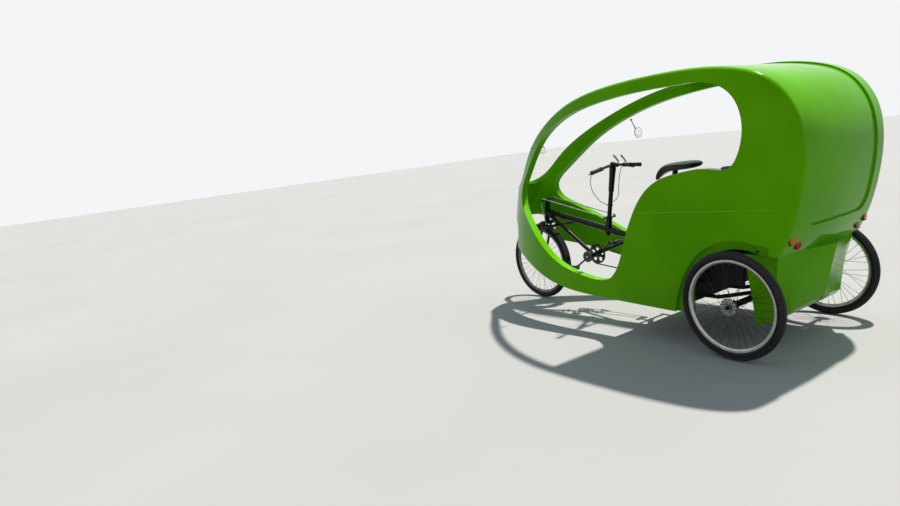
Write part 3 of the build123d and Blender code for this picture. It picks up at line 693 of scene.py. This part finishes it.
def add_camera():
    forward = Vector((
        math.cos(CAMERA_PITCH) * math.cos(CAMERA_YAW),
        math.cos(CAMERA_PITCH) * math.sin(CAMERA_YAW),
        math.sin(CAMERA_PITCH)))
    level = forward.cross(UP).normalized()
    upright = level.cross(forward)
    right = level * math.cos(CAMERA_ROLL) + upright * math.sin(CAMERA_ROLL)
    up = upright * math.cos(CAMERA_ROLL) - level * math.sin(CAMERA_ROLL)
    data = bpy.data.cameras.new("camera")
    data.lens = LENS_MM
    data.sensor_width = SENSOR_MM
    camera = bpy.data.objects.new("camera", data)
    bpy.context.collection.objects.link(camera)
    turn = Matrix((right, up, -forward)).transposed().to_4x4()
    camera.matrix_world = Matrix.Translation(at(*CAMERA_PLACE)) @ turn
    bpy.context.scene.camera = camera


def seen_directly(tree):
    """1 for what the camera sees, also in metal and through glass."""
    rays = tree.nodes.new("ShaderNodeLightPath")
    share = rays.outputs["Is Camera Ray"]
    for name in ("Is Glossy Ray", "Is Transmission Ray"):
        most = tree.nodes.new("ShaderNodeMath")
        most.operation = "MAXIMUM"
        tree.links.new(share, most.inputs[0])
        tree.links.new(rays.outputs[name], most.inputs[1])
        share = most.outputs["Value"]
    return share


def add_floor():
    mesh = bpy.data.meshes.new("floor")
    corners = [Vector((x, y, 0)) * FLOOR_REACH for x, y in ((-1, -1), (1, -1), (1, 1), (-1, 1))]
    mesh.from_pydata(corners, [], [(0, 1, 2, 3)])
    floor = bpy.data.objects.new("floor", mesh)
    bpy.context.collection.objects.link(floor)
    made = worn("pale_floor", *FLOOR_GREYS, 2500, (0.8, 0.9))
    seen = shader_input(made, "Base Color").links[0].from_socket
    share = seen_directly(made.node_tree)
    link(made, blend_colour(made, share, FLOOR_BOUNCE, seen), shader_input(made, "Base Color"))
    floor.data.materials.append(made)


def add_world():
    """Sky that lights the object, behind a plain pale background for the camera."""
    world = bpy.data.worlds.new("world")
    bpy.context.scene.world = world
    world.use_nodes = True
    tree = world.node_tree
    join = tree.links.new
    light = tree.nodes["Background"]
    light.inputs["Strength"].default_value = SKY_STRENGTH
    place = tree.nodes.new("ShaderNodeTexCoord")
    parts = tree.nodes.new("ShaderNodeSeparateXYZ")
    sky = tree.nodes.new("ShaderNodeValToRGB")
    for element, position, colour in zip(sky.color_ramp.elements, SKY_ENDS, (SKY_LOW, SKY_HIGH)):
        element.position = position
        element.color = (*colour, 1)
    height = tree.nodes.new("ShaderNodeMapRange")
    height.inputs["From Min"].default_value = -1.0
    join(place.outputs["Generated"], parts.inputs["Vector"])
    join(parts.outputs["Z"], height.inputs["Value"])
    join(height.outputs["Result"], sky.inputs["Fac"])
    join(sky.outputs["Color"], light.inputs["Color"])
    pale = tree.nodes.new("ShaderNodeBackground")
    pale.inputs["Color"].default_value = (*BACKGROUND, 1)
    choose = tree.nodes.new("ShaderNodeMixShader")
    join(seen_directly(tree), choose.inputs["Fac"])
    join(light.outputs["Background"], choose.inputs[1])
    join(pale.outputs["Background"], choose.inputs[2])
    join(choose.outputs["Shader"], tree.nodes["World Output"].inputs["Surface"])


def add_sun():
    data = bpy.data.lights.new("sun", "SUN")
    data.energy = SUN_STRENGTH
    data.angle = SUN_ANGLE
    data.color = SUN_COLOUR
    sun = bpy.data.objects.new("sun", data)
    bpy.context.collection.objects.link(sun)
    sun.rotation_euler = Vector(SUN_WAY).to_track_quat("-Z", "Y").to_euler()


# Wheels

def add_tyre(side, body, tread, pitch):
    """Tyre with a round casing, bead lines on its walls and knobs all round."""
    low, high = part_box(side + "_tyre")
    centre = (low + high) / 2
    radius, half = (high.x - low.x) / 2 / MM, (high.y - low.y) / 2 / MM
    seat_r = radius - 2 * half * SEAT_SHARE
    tube_r = half - CASING_INSET
    ring_r = radius - max(row[3] for row in tread) - tube_r - GROUND_GAP
    profile = [(seat_r + 0.6, half * 0.47), (seat_r + 3.5, half * 0.53)]
    for turn in SECTION_TURNS:
        wall_r = tube_r + (WALL_RIB if turn == WALL_RIB_TURN else 0.0)
        angle = math.radians(turn)
        profile.append((ring_r + wall_r * math.cos(angle), wall_r * math.sin(angle)))
    profile += [(r, -y) for r, y in profile[-2::-1]]
    casing = Shape()
    casing.lathe(profile, centre, LEFT, 120)
    casing.piece(side + "_casing", RUBBER, body, "tyre", [side + "_tyre"])
    knobs = Shape()
    repeats = round(2 * math.pi * radius / pitch)
    for turn, width, length, tall, shift in tread:
        lean = math.radians(turn)
        for i in range(repeats):
            round_turn = 2 * math.pi * (i + shift) / repeats
            out = Vector((math.cos(round_turn), 0, math.sin(round_turn)))
            along = Vector((-math.sin(round_turn), 0, math.cos(round_turn)))
            normal = out * math.cos(lean) + LEFT * math.sin(lean)
            across = LEFT * math.cos(lean) - out * math.sin(lean)
            foot = centre + out * ring_r * MM + normal * (tube_r - KNOB_ROOT) * MM
            size = (width, length, tall + KNOB_ROOT)
            knobs.block(foot, (across, along, normal), size, KNOB_TAPER, base=False)
    # The knobs' lighter rubber is partly wear and partly painted highlight.
    knobs.piece(side + "_knobs", KNOB_RUBBER_PAINTED_LIGHT, body, "tyre")


def add_nipples(side, body, count, flange_in, flange_out):
    """Spoke nipples in the rim, and the valve."""
    low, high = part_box(side + "_hub")
    centre = (low + high) / 2
    tip_r = (high.x - low.x) / 2 / MM - 1
    flange_y = (high.y - low.y) / 2 / MM - FLANGE_END_INSET
    nipples = Shape()
    for i in range(count):
        outer, forward = i % 2, (i // 2) % 2
        sign = 1 if outer else -1
        if side == "right":
            sign = -sign
        foot_r = (flange_out if outer else flange_in) - FLANGE_HOLE_INSET
        tip_turn = 2 * math.pi / count * i
        foot_turn = tip_turn + math.radians(SPOKE_LEAN if forward else -SPOKE_LEAN)
        tip = around(centre, tip_r, tip_turn, sign * RIM_HOLE_SIDE)
        foot = around(centre, foot_r, foot_turn, sign * flange_y)
        way = (foot - tip).normalized()
        nipples.tube([tip, tip + way * 4 * MM, tip + way * NIPPLE_LONG * MM], NIPPLE_RADII, 8)
    nipples.piece(side + "_nipples", DARK_STEEL, body, "rim")
    valve = Shape()
    turn = math.radians(VALVE_TURN)
    stem = [(3.2, 0), (3.2, -12), (2.6, -13), (2.6, -26), (3.4, -27), (3.4, -38), (2.2, -41), (0, -41)]
    valve.lathe(stem, around(centre, tip_r + 2, turn), (math.cos(turn), 0, math.sin(turn)), 14)
    valve.piece(side + "_valve", PLASTIC, body, "hub")


def add_brake_disc(side, body):
    """Brake disc with two rings of holes, on the outer face of the hub."""
    low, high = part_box(side + "_hub")
    centre = (low + high) / 2
    half = (high.y - low.y) / 2 / MM
    outward = LEFT if side == "left" else -LEFT
    face = centre + outward * (half - DISC_INSET) * MM
    thick = outward * DISC_THICK * MM
    disc = Shape()
    for inner, outer, hole_r, shift in DISC_RINGS:
        for i in range(DISC_HOLES):
            turn = 2 * math.pi * (i + shift) / DISC_HOLES
            start = math.degrees(turn - math.pi / DISC_HOLES)
            end = math.degrees(turn + math.pi / DISC_HOLES)
            border = circle(face, FORWARD, UP, outer, 5, start, end)
            border += circle(face, FORWARD, UP, inner, 3, end, start)
            heart = around(face, (inner + outer) / 2, turn)
            hole = [heart + (point - heart).normalized() * hole_r * MM for point in border]
            for lift in (Vector(), thick):
                disc.grid([[point + lift for point in border], [point + lift for point in hole]])
            disc.grid([hole, [point + thick for point in hole]])
    for radius in (DISC_R, DISC_BORE_R):
        disc.lathe([(radius, 0), (radius, DISC_THICK)], face, outward)
    disc.piece(side + "_brake_disc", DISC_STEEL, body, "hub")
    bolts = Shape()
    hexagon_bolt(bolts, centre + outward * (half - AXLE_NUT_INSET) * MM, outward, 24, 5)
    for i in range(DISC_BOLTS):
        hexagon_bolt(bolts, around(face, DISC_BOLT_R, 2 * math.pi * i / DISC_BOLTS) + thick, outward, 5, 1.6)
    bolts.piece(side + "_hub_bolts", DARK_STEEL, body, "hub")


def add_wheels():
    for side in ("left", "right"):
        body = side + "_wheel"
        add_brake_disc(side, body)
        add_tyre(side, body, REAR_TREAD, REAR_PITCH)
        add_nipples(side, body, REAR_SPOKES, *REAR_FLANGES)
        dress(wheel_metal(side + "_hub_metal", middle(side + "_hub"), REAR_BLACK_R), side + "_hub")
    add_tyre("front", "front_wheel", FRONT_TREAD, FRONT_PITCH)
    add_nipples("front", "front_wheel", FRONT_SPOKES, *FRONT_FLANGES)
    dress(wheel_metal("front_hub_metal", middle("front_hub"), FRONT_BLACK_R), "front_hub")


# Drive

def chain_path():
    """Points one link apart along the belt round the two sprockets, in metres."""
    big, small = Vector((CRANK_AXLE.x, 0, CRANK_AXLE.z)), at(*JACK_PLACE)
    big_r, small_r = RING_R + CHAIN_HEIGHT / 2, JACK_R + CHAIN_HEIGHT / 2
    way = big - small
    base = math.atan2(way.z, way.x)
    lean = math.acos((big_r - small_r) / (way.length / MM))
    dense = []
    for centre, radius, start, end in (
            (big, big_r, base - math.pi + lean, base + math.pi - lean),
            (small, small_r, base + math.pi - lean, base + math.pi + lean)):
        for i in range(ARC_STEPS + 1):
            dense.append(around(centre, radius, start + (end - start) * i / ARC_STEPS))
    dense.append(dense[0])
    total = sum((b - a).length for a, b in zip(dense, dense[1:]))
    count = 2 * round(total / (LINK_LONG * MM) / 2)
    step = total / count
    points, run, target = [], 0.0, 0.0
    for a, b in zip(dense, dense[1:]):
        length = (b - a).length
        while target <= run + length and len(points) < count:
            points.append(a.lerp(b, (target - run) / length if length else 0))
            target += step
        run += length
    return [point + LEFT * CHAIN_Y * MM for point in points]


def add_chain():
    """Roller chain of paired plates and rollers."""
    shape = Shape()
    points = chain_path()
    for i, point in enumerate(points):
        after = points[(i + 1) % len(points)]
        way = (after - point).normalized()
        up = LEFT.cross(way)
        inset = OUTER_PLATE_Y if i % 2 else INNER_PLATE_Y
        ends = circle(point, -way, up, PLATE_R, 6, -80, 80) + circle(after, way, -up, PLATE_R, 6, -80, 80)
        for sign in (1, -1):
            outline = [place + LEFT * sign * inset * MM for place in ends]
            shape.plate(outline, LEFT * sign * PLATE_THICK * MM)
        for half, radius, sides in ((PIN_HALF, PIN_R, 8), (INNER_PLATE_Y, ROLLER_R, 10)):
            shape.tube([point - LEFT * half * MM, point + LEFT * half * MM], radius, sides)
    shape.piece("chain_links", DARK_STEEL, "vehicle", "chain_set", ["drive_chain"])


def add_crank_parts():
    """Bolts of the chainring and crank arms, and the pedals' pins."""
    bolts = Shape()
    for i in range(RING_BOLTS):
        turn = math.radians(360 / RING_BOLTS * i + RING_BOLT_TURN)
        place = around(CRANK_AXLE, RING_BOLT_R, turn, RING_BOLT_Y)
        bolts.lathe([(0, 0), (5.5, 0), (5.5, 1.6), (3, 2.2), (0, 2.2)], place, -LEFT, 14)
    for sign, y in ARM_NUT_Y.items():
        hexagon_bolt(bolts, CRANK_AXLE + LEFT * y * MM, LEFT * sign, 12, 5)
    bolts.piece("crank_bolts", STEEL, "crank", "rim")
    for side in ("left", "right"):
        centre = middle(side + "_pedal")
        pins = Shape()
        for end in (1, -1):
            for i in range(-3, 4):
                for up in (1, -1):
                    place = centre + Vector((end * PEDAL_PIN_X, i * PEDAL_PIN_PITCH, up * PEDAL_PIN_Z)) * MM
                    pins.block(place, (FORWARD, LEFT, UP * up), (3, 5, 2.4), 0.5)
        pins.piece(side + "_pedal_pins", DARK_STEEL, side + "_pedal", "chain_set")


# Rider's place

def add_saddle():
    """Padded saddle with a shallow dip along its middle and a welt round its edge."""
    rings = []
    for x, half, low, high, dip in SADDLE:
        ring = []
        for i in range(SADDLE_SIDES):
            turn = 2 * math.pi * i / SADDLE_SIDES
            y = half * bulge(math.cos(turn), 0.62)
            z = (low + high) / 2 + (high - low) / 2 * bulge(math.sin(turn), 0.72)
            if math.sin(turn) > 0:
                z -= dip * math.exp(-(y / (half * 0.32)) ** 2)
            ring.append(at(x, y, z))
        rings.append(ring)
    cover = Shape()
    cover.loft(rings)
    round_off(cover.piece("saddle_cover", LEATHER, "vehicle", "saddle", ["saddle"], sharp=80))
    welt = Shape()
    for sign in (1, -1):
        edge = []
        for x, half, low, high, _ in SADDLE[1:-1]:
            edge.append(at(x, sign * (half + 0.4), low * 0.62 + high * 0.38))
        welt.tube(smooth_path(edge, 6), WELT_R, 8)
    welt.piece("saddle_welt", LEATHER, "vehicle", "saddle")


def bar_point(offset, sign=1):
    x, y, z = offset
    return at(BAR_PLACE[0] + x, BAR_PLACE[1] + sign * y, BAR_PLACE[2] + z)


def add_grips():
    """Ribbed grips with a collar at each end."""
    profile = [(BAR_R, 0), (GRIP_COLLAR_R, 0), (17.6, 3), (GRIP_R, 5)]
    for i in range(GRIP_RIBS):
        base = 8 + i * GRIP_RIB_PITCH
        profile += [(GRIP_R, base), (GRIP_RIB_R, base + 1.5), (GRIP_RIB_R, base + 5.5), (GRIP_R, base + 7)]
    profile += [(15.2, 110), (GRIP_COLLAR_R, 112), (17.2, 118), (GRIP_R, GRIP_LONG), (0, GRIP_LONG)]
    grips = Shape()
    for sign in (1, -1):
        inner, outer = bar_point(BAR_INNER, sign), bar_point(BAR_OUTER, sign)
        way = (outer - inner).normalized()
        grips.lathe(profile, outer - way * (GRIP_LONG - GRIP_PAST_END) * MM, way, 24)
    grips.piece("grip_sleeves", GRIP, "mast", "grip", ["grips"])


def add_shifters():
    """Gear shifters: a round pod on the bar and a pale blade that stands up from it."""
    pods = Shape()
    blades = Shape()
    for offset in SHIFTERS:
        place = bar_point(offset)
        pods.lathe([(0, -13), (15, -13), (17, -10), (17, 10), (15, 13), (0, 13)], place, LEFT, 20)
        root = place + Vector((0, -8, 10)) * MM
        bend = place + Vector((2, -14, 34)) * MM
        tip = place + Vector((-4, 42, 84)) * MM
        blades.tube(smooth_path([root, bend, tip], 5), [5.0] * 4 + [8.0] * 4 + [9.5, 9.0, 7.0], 12)
    pods.piece("shifter_pods", PLASTIC, "mast", "black_plastic")
    blades.piece("shifter_blades", PALE_PLASTIC, "mast", "black_plastic")


def add_mast_parts():
    """Cap and clamp bolts of the stem, and the sleeves round the mast."""
    lean = math.radians(TILT)
    base, up = at(*BAR_PLACE), Vector((-math.sin(lean), 0, math.cos(lean)))
    stem = Shape()
    top = base + up * 24 * MM
    stem.lathe([(0, 0), (19, 0), (19, 1.5), (15, 4), (0, 4)], top, up, 28)
    hexagon_bolt(stem, top + up * 3.5 * MM, up, 10, 4)
    for y in (-14, 14):
        hexagon_bolt(stem, bar_point((23.5, y, 6)), FORWARD, 7, 4)
    stem.piece("stem_cap", DARK_STEEL, "mast", "frame_paint")
    sleeve = Shape()
    for profile in (
            [(MAST_R, -215), (22, -210), (24, -90), (27, -30), (27, -12), (MAST_R, -10)],
            [(MAST_R, -545), (33, -543), (33, -530), (29, -490), (23, -448), (MAST_R, -442)]):
        sleeve.lathe(profile, base, up, 28)
    sleeve.piece("mast_sleeves", BLACK_PAINT, "mast", "frame_paint")


def add_brake_rod():
    """Rod beside the head tube, with a nut at each end."""
    rod = Shape()
    top, foot = at(*ROD_TOP), at(*ROD_FOOT)
    rod.tube([top, foot], ROD_R, 10)
    for end, way in ((top, 1), (foot, -1)):
        along = (top - foot).normalized() * way
        hexagon_bolt(rod, end - along * 8 * MM, along, 11, 5)
    rod.piece("brake_rod", LINK_STEEL, "fork", "frame_paint")


def add_mirrors():
    """Stem, domed shell with a lip, and the glass that faces back."""
    for side, foot, centre, radius in MIRRORS:
        foot, centre = at(*foot), at(*centre)
        shell = Shape()
        reach = centre - foot
        bend = foot + reach * 0.55 + Vector((4, 0, -3)) * MM
        shell.tube(smooth_path([foot, bend, centre + FORWARD * 6 * MM], 8), MIRROR_STEM_R)
        shell.lathe([(0, -3), (9, -3), (9, 3), (0, 3)], foot, reach, 16)
        dome = [(0, 11), (radius * 0.35, 10.4), (radius * 0.7, 7.6), (radius * 0.93, 3.0), (radius, -2.0)]
        dome += [(radius, -6.0), (radius - 1.5, -6.0), (radius - 2.0, -4.5), (0, -4.5)]
        shell.lathe(dome, centre, FORWARD, 40)
        name = "mirror_" + side
        shell.piece(name + "_shell", PLASTIC, "vehicle", "mirror_shell", [name])
        glass = Shape()
        glass.lathe([(0, -5.4), (radius * 0.5, -5.3), (radius - 2.2, -5.0)], centre, FORWARD, 40)
        glass.piece(name + "_glass", GLASS, "vehicle", "mirror_shell")


# Cab

def surface_of(*nodes):
    """Tree of the faces of CAD nodes, for laying trim on them."""
    points, faces = [], []
    for node in nodes:
        mesh = frame["nodes"][node].data
        first = len(points)
        points.extend(vertex.co.copy() for vertex in mesh.vertices)
        faces.extend([first + i for i in face.vertices] for face in mesh.polygons)
    return BVHTree.FromPolygons(points, faces)


def lay(tree, start, way, lift=0.0):
    """First point that a ray meets, lifted back off the surface, and the surface's normal."""
    place, normal, _, _ = tree.ray_cast(start, way.normalized())
    if place is None:
        return None, None
    if normal.dot(way) > 0:
        normal = -normal
    return place + normal * lift * MM, normal


def add_side_lines():
    """Faint raised moulding line, coloured a lighter green than the cab as its painted highlight, and the
    screws on each side.
    """
    for side, sign in (("left", 1), ("right", -1)):
        tree = surface_of("cab_side_" + side)
        inward = LEFT * -sign
        line = Shape()
        path = []
        for x, z in SIDE_LINE:
            place, _ = lay(tree, at(x, sign * OUTSIDE_Y, z), inward, 0.4)
            if place is not None:
                path.append(place)
        line.tube(smooth_path(path, 6), SIDE_LINE_R, 8)
        # The line's lighter green is its painted highlight.
        line.piece("side_line_" + side, PAINTED_LINE_HIGHLIGHT, "vehicle", "cab_paint")
        screws = Shape()
        for x, z in SIDE_SCREWS:
            place, normal = lay(tree, at(x, sign * OUTSIDE_Y, z), inward)
            screws.lathe([(0, -2), (11, -2), (11, 1.5), (8, 4.0), (4, 5.0), (0, 5.0)], place, normal, 20)
        screws.piece("side_screws_" + side, PLASTIC, "vehicle", "black_plastic")


def add_crease_lip():
    """Rolled lip where the cab's shell ends above the lower back."""
    tree = surface_of("cab_side_left", "cab_side_right", "roof_back")
    lip = Shape()
    path = []
    aim = at(*LIP_CENTRE)
    for i in range(LIP_STEPS + 1):
        turn = math.radians(LIP_START + LIP_SPAN * i / LIP_STEPS)
        out = Vector((math.cos(turn), math.sin(turn), 0))
        place, _ = lay(tree, aim + out * 1.5, -out)
        if place is not None:
            path.append(place)
    lip.tube(path, LIP_R, 10)
    lip.piece("crease_lip", PAINT, "vehicle", "cab_paint")


def add_lamps():
    """Round rear lamps: rubber base, stepped lens, amber outside and red inside."""
    base = [
        (0, -LAMP_DEEP), (LAMP_R, -LAMP_DEEP), (LAMP_R, -8), (LAMP_R - 1.5, -7), (LAMP_R - 3, -7), (0, -7)]
    lens = [(LAMP_R - 3, -8), (LAMP_R - 3, -4), (LAMP_R - 4.5, -2.2)]
    for i in range(LENS_STEPS):
        step_r = (LAMP_R - 6) * (1 - i / LENS_STEPS)
        lens += [(step_r, -1.6 + i * 0.25), (step_r - 1.4, -1.9 + i * 0.25)]
    lens.append((0, -0.4))
    bases = Shape()
    lenses = {"inner": Shape(), "outer": Shape()}
    for name, x, y, z, turn in LAMPS:
        lean = math.radians(turn)
        for sign in (1, -1):
            away = Vector((-math.cos(lean), sign * math.sin(lean), 0))
            bases.lathe(base, at(x, sign * y, z), away, 36)
            lenses[name].lathe(lens, at(x, sign * y, z), away, 36)
    bases.piece("lamp_bases", PLASTIC, "vehicle", "black_plastic", ["tail_lamps"])
    lenses["outer"].piece("lamp_lens_amber", AMBER, "vehicle", "lamp")
    lenses["inner"].piece("lamp_lens_red", RED, "vehicle", "lamp")


# Passenger space

def add_floor_ribs():
    """Raised ribs of the floor's mat."""
    low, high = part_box("floor_tray")
    ribs = Shape()
    width = (high.y - low.y) / MM - RIB_BARE
    count = int((high.x - low.x) / MM / RIB_PITCH) - 1
    for i in range(count):
        place = Vector((low.x + (i + 1) * RIB_PITCH * MM, 0, high.z - RIB_ROOT * MM))
        ribs.block(place, (LEFT, FORWARD, UP), (width, RIB_WIDE, RIB_HIGH), 0.9, base=False)
    ribs.piece("floor_ribs", MAT, "vehicle", "floor")


def add_arm_pads():
    """Blue vinyl pads on the walls beside the backrest."""
    pads = Shape()
    for side, sign in (("left", 1), ("right", -1)):
        wall, _ = lay(surface_of("cab_side_" + side), at(0, 0, ARM_PAD_WALL_Z), LEFT * sign)
        rings = []
        for step in range(ARM_PAD_STEPS + 1):
            share = step / ARM_PAD_STEPS
            narrow = 1 - 0.35 * abs(2 * share - 1) ** 6
            ring = []
            for i in range(ARM_PAD_SIDES):
                turn = 2 * math.pi * i / ARM_PAD_SIDES
                rise = ARM_PAD_HALF_HIGH * bulge(math.sin(turn), 0.5) * narrow
                place = at(ARM_PAD_START + ARM_PAD_LONG * share, 0, ARM_PAD_Z + rise)
                inset = ARM_PAD_HALF_THICK * (1 - bulge(math.cos(turn), 0.5) * narrow)
                place.y = wall.y - sign * inset * MM
                ring.append(place)
            rings.append(ring)
        pads.loft(rings)
    pads.piece("arm_pads", VINYL, "vehicle", "cushion", sharp=60)


def baked(thing):
    """The object's mesh as its modifiers leave it, which are then taken off."""
    graph = bpy.context.evaluated_depsgraph_get()
    mesh = bpy.data.meshes.new_from_object(thing.evaluated_get(graph))
    thing.modifiers.clear()
    thing.data = mesh
    return thing


def hold_seams(thing, seams):
    """Hold the points near the seams, which run across the cushion."""
    held = thing.vertex_groups.new(name="held")
    ends = [(at(x, 0, z), at(x2, 0, z2)) for (x, z), (x2, z2) in seams]
    for i, vertex in enumerate(thing.data.vertices):
        flat = Vector((vertex.co.x, 0, vertex.co.z))
        for seam_a, seam_b in ends:
            way = (seam_b - seam_a).normalized()
            reach = flat - seam_a
            if (reach - way * reach.dot(way)).length < VOXEL * SEAM_REACH * MM:
                held.add([i], 1.0, "REPLACE")


def inflate(thing):
    """Let pressure swell the cushion by cloth simulation."""
    cloth = thing.modifiers.new("cloth", "CLOTH")
    cloth.settings.vertex_group_mass = "held"
    cloth.settings.use_pressure = True
    cloth.settings.uniform_pressure_force = PRESSURE
    cloth.settings.effector_weights.gravity = 0
    cloth.settings.quality = 4
    cloth.collision_settings.use_collision = False
    for number in range(1, CLOTH_FRAMES + 1):
        bpy.context.scene.frame_set(number)
    baked(thing)
    bpy.context.scene.frame_set(1)


def add_cushion(name, outline, half_wide, node, seams):
    """Cushion from its section seen from the left, swollen between its seams."""
    low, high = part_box(node)
    across = Vector((0, 2 * half_wide * MM, 0))
    shape = Shape()
    shape.plate([at(x, 0, z) - across / 2 for x, z in outline], across)
    thing = shape.make(name, CLOTH)
    for kind, values in (
            ("BEVEL", {"width": CUSHION_EDGE * MM, "segments": 4}),
            ("REMESH", {"mode": "VOXEL", "voxel_size": VOXEL * MM})):
        modifier = thing.modifiers.new(kind, kind)
        for key, value in values.items():
            setattr(modifier, key, value)
    baked(thing)
    start = [vertex.co.copy() for vertex in thing.data.vertices]
    hold_seams(thing, seams)
    inflate(thing)
    proud = CUSHION_PROUD * MM
    for vertex, place in zip(thing.data.vertices, start):
        moved = vertex.co - place
        if moved.length > CUSHION_CAP * MM:
            vertex.co = place + moved.normalized() * CUSHION_CAP * MM
        for axis in range(3):
            vertex.co[axis] = min(max(vertex.co[axis], low[axis] - proud), high[axis] + proud)
    for face in thing.data.polygons:
        face.use_smooth = True
    thing.data.materials.clear()
    thing.data.materials.append(CLOTH)
    round_off(thing)
    baked(thing)
    settle(thing, "vehicle", [node])


for node_material, names in NODE_MATERIALS:
    dress(node_material, *names)
add_camera()
add_floor()
add_world()
add_sun()
add_wheels()
add_chain()
add_crank_parts()
add_saddle()
add_grips()
add_shifters()
add_mast_parts()
add_brake_rod()
add_mirrors()
add_side_lines()
add_crease_lip()
add_lamps()
add_floor_ribs()
add_arm_pads()
add_cushion("seat_pad", SEAT_SECTION, SEAT_HALF_WIDE, "seat_cushion", SEAT_SEAMS)
add_cushion("back_pad", BACK_SECTION, BACK_HALF_WIDE, "back_cushion", BACK_SEAMS)
bpy.context.scene.view_settings.view_transform = "Standard"
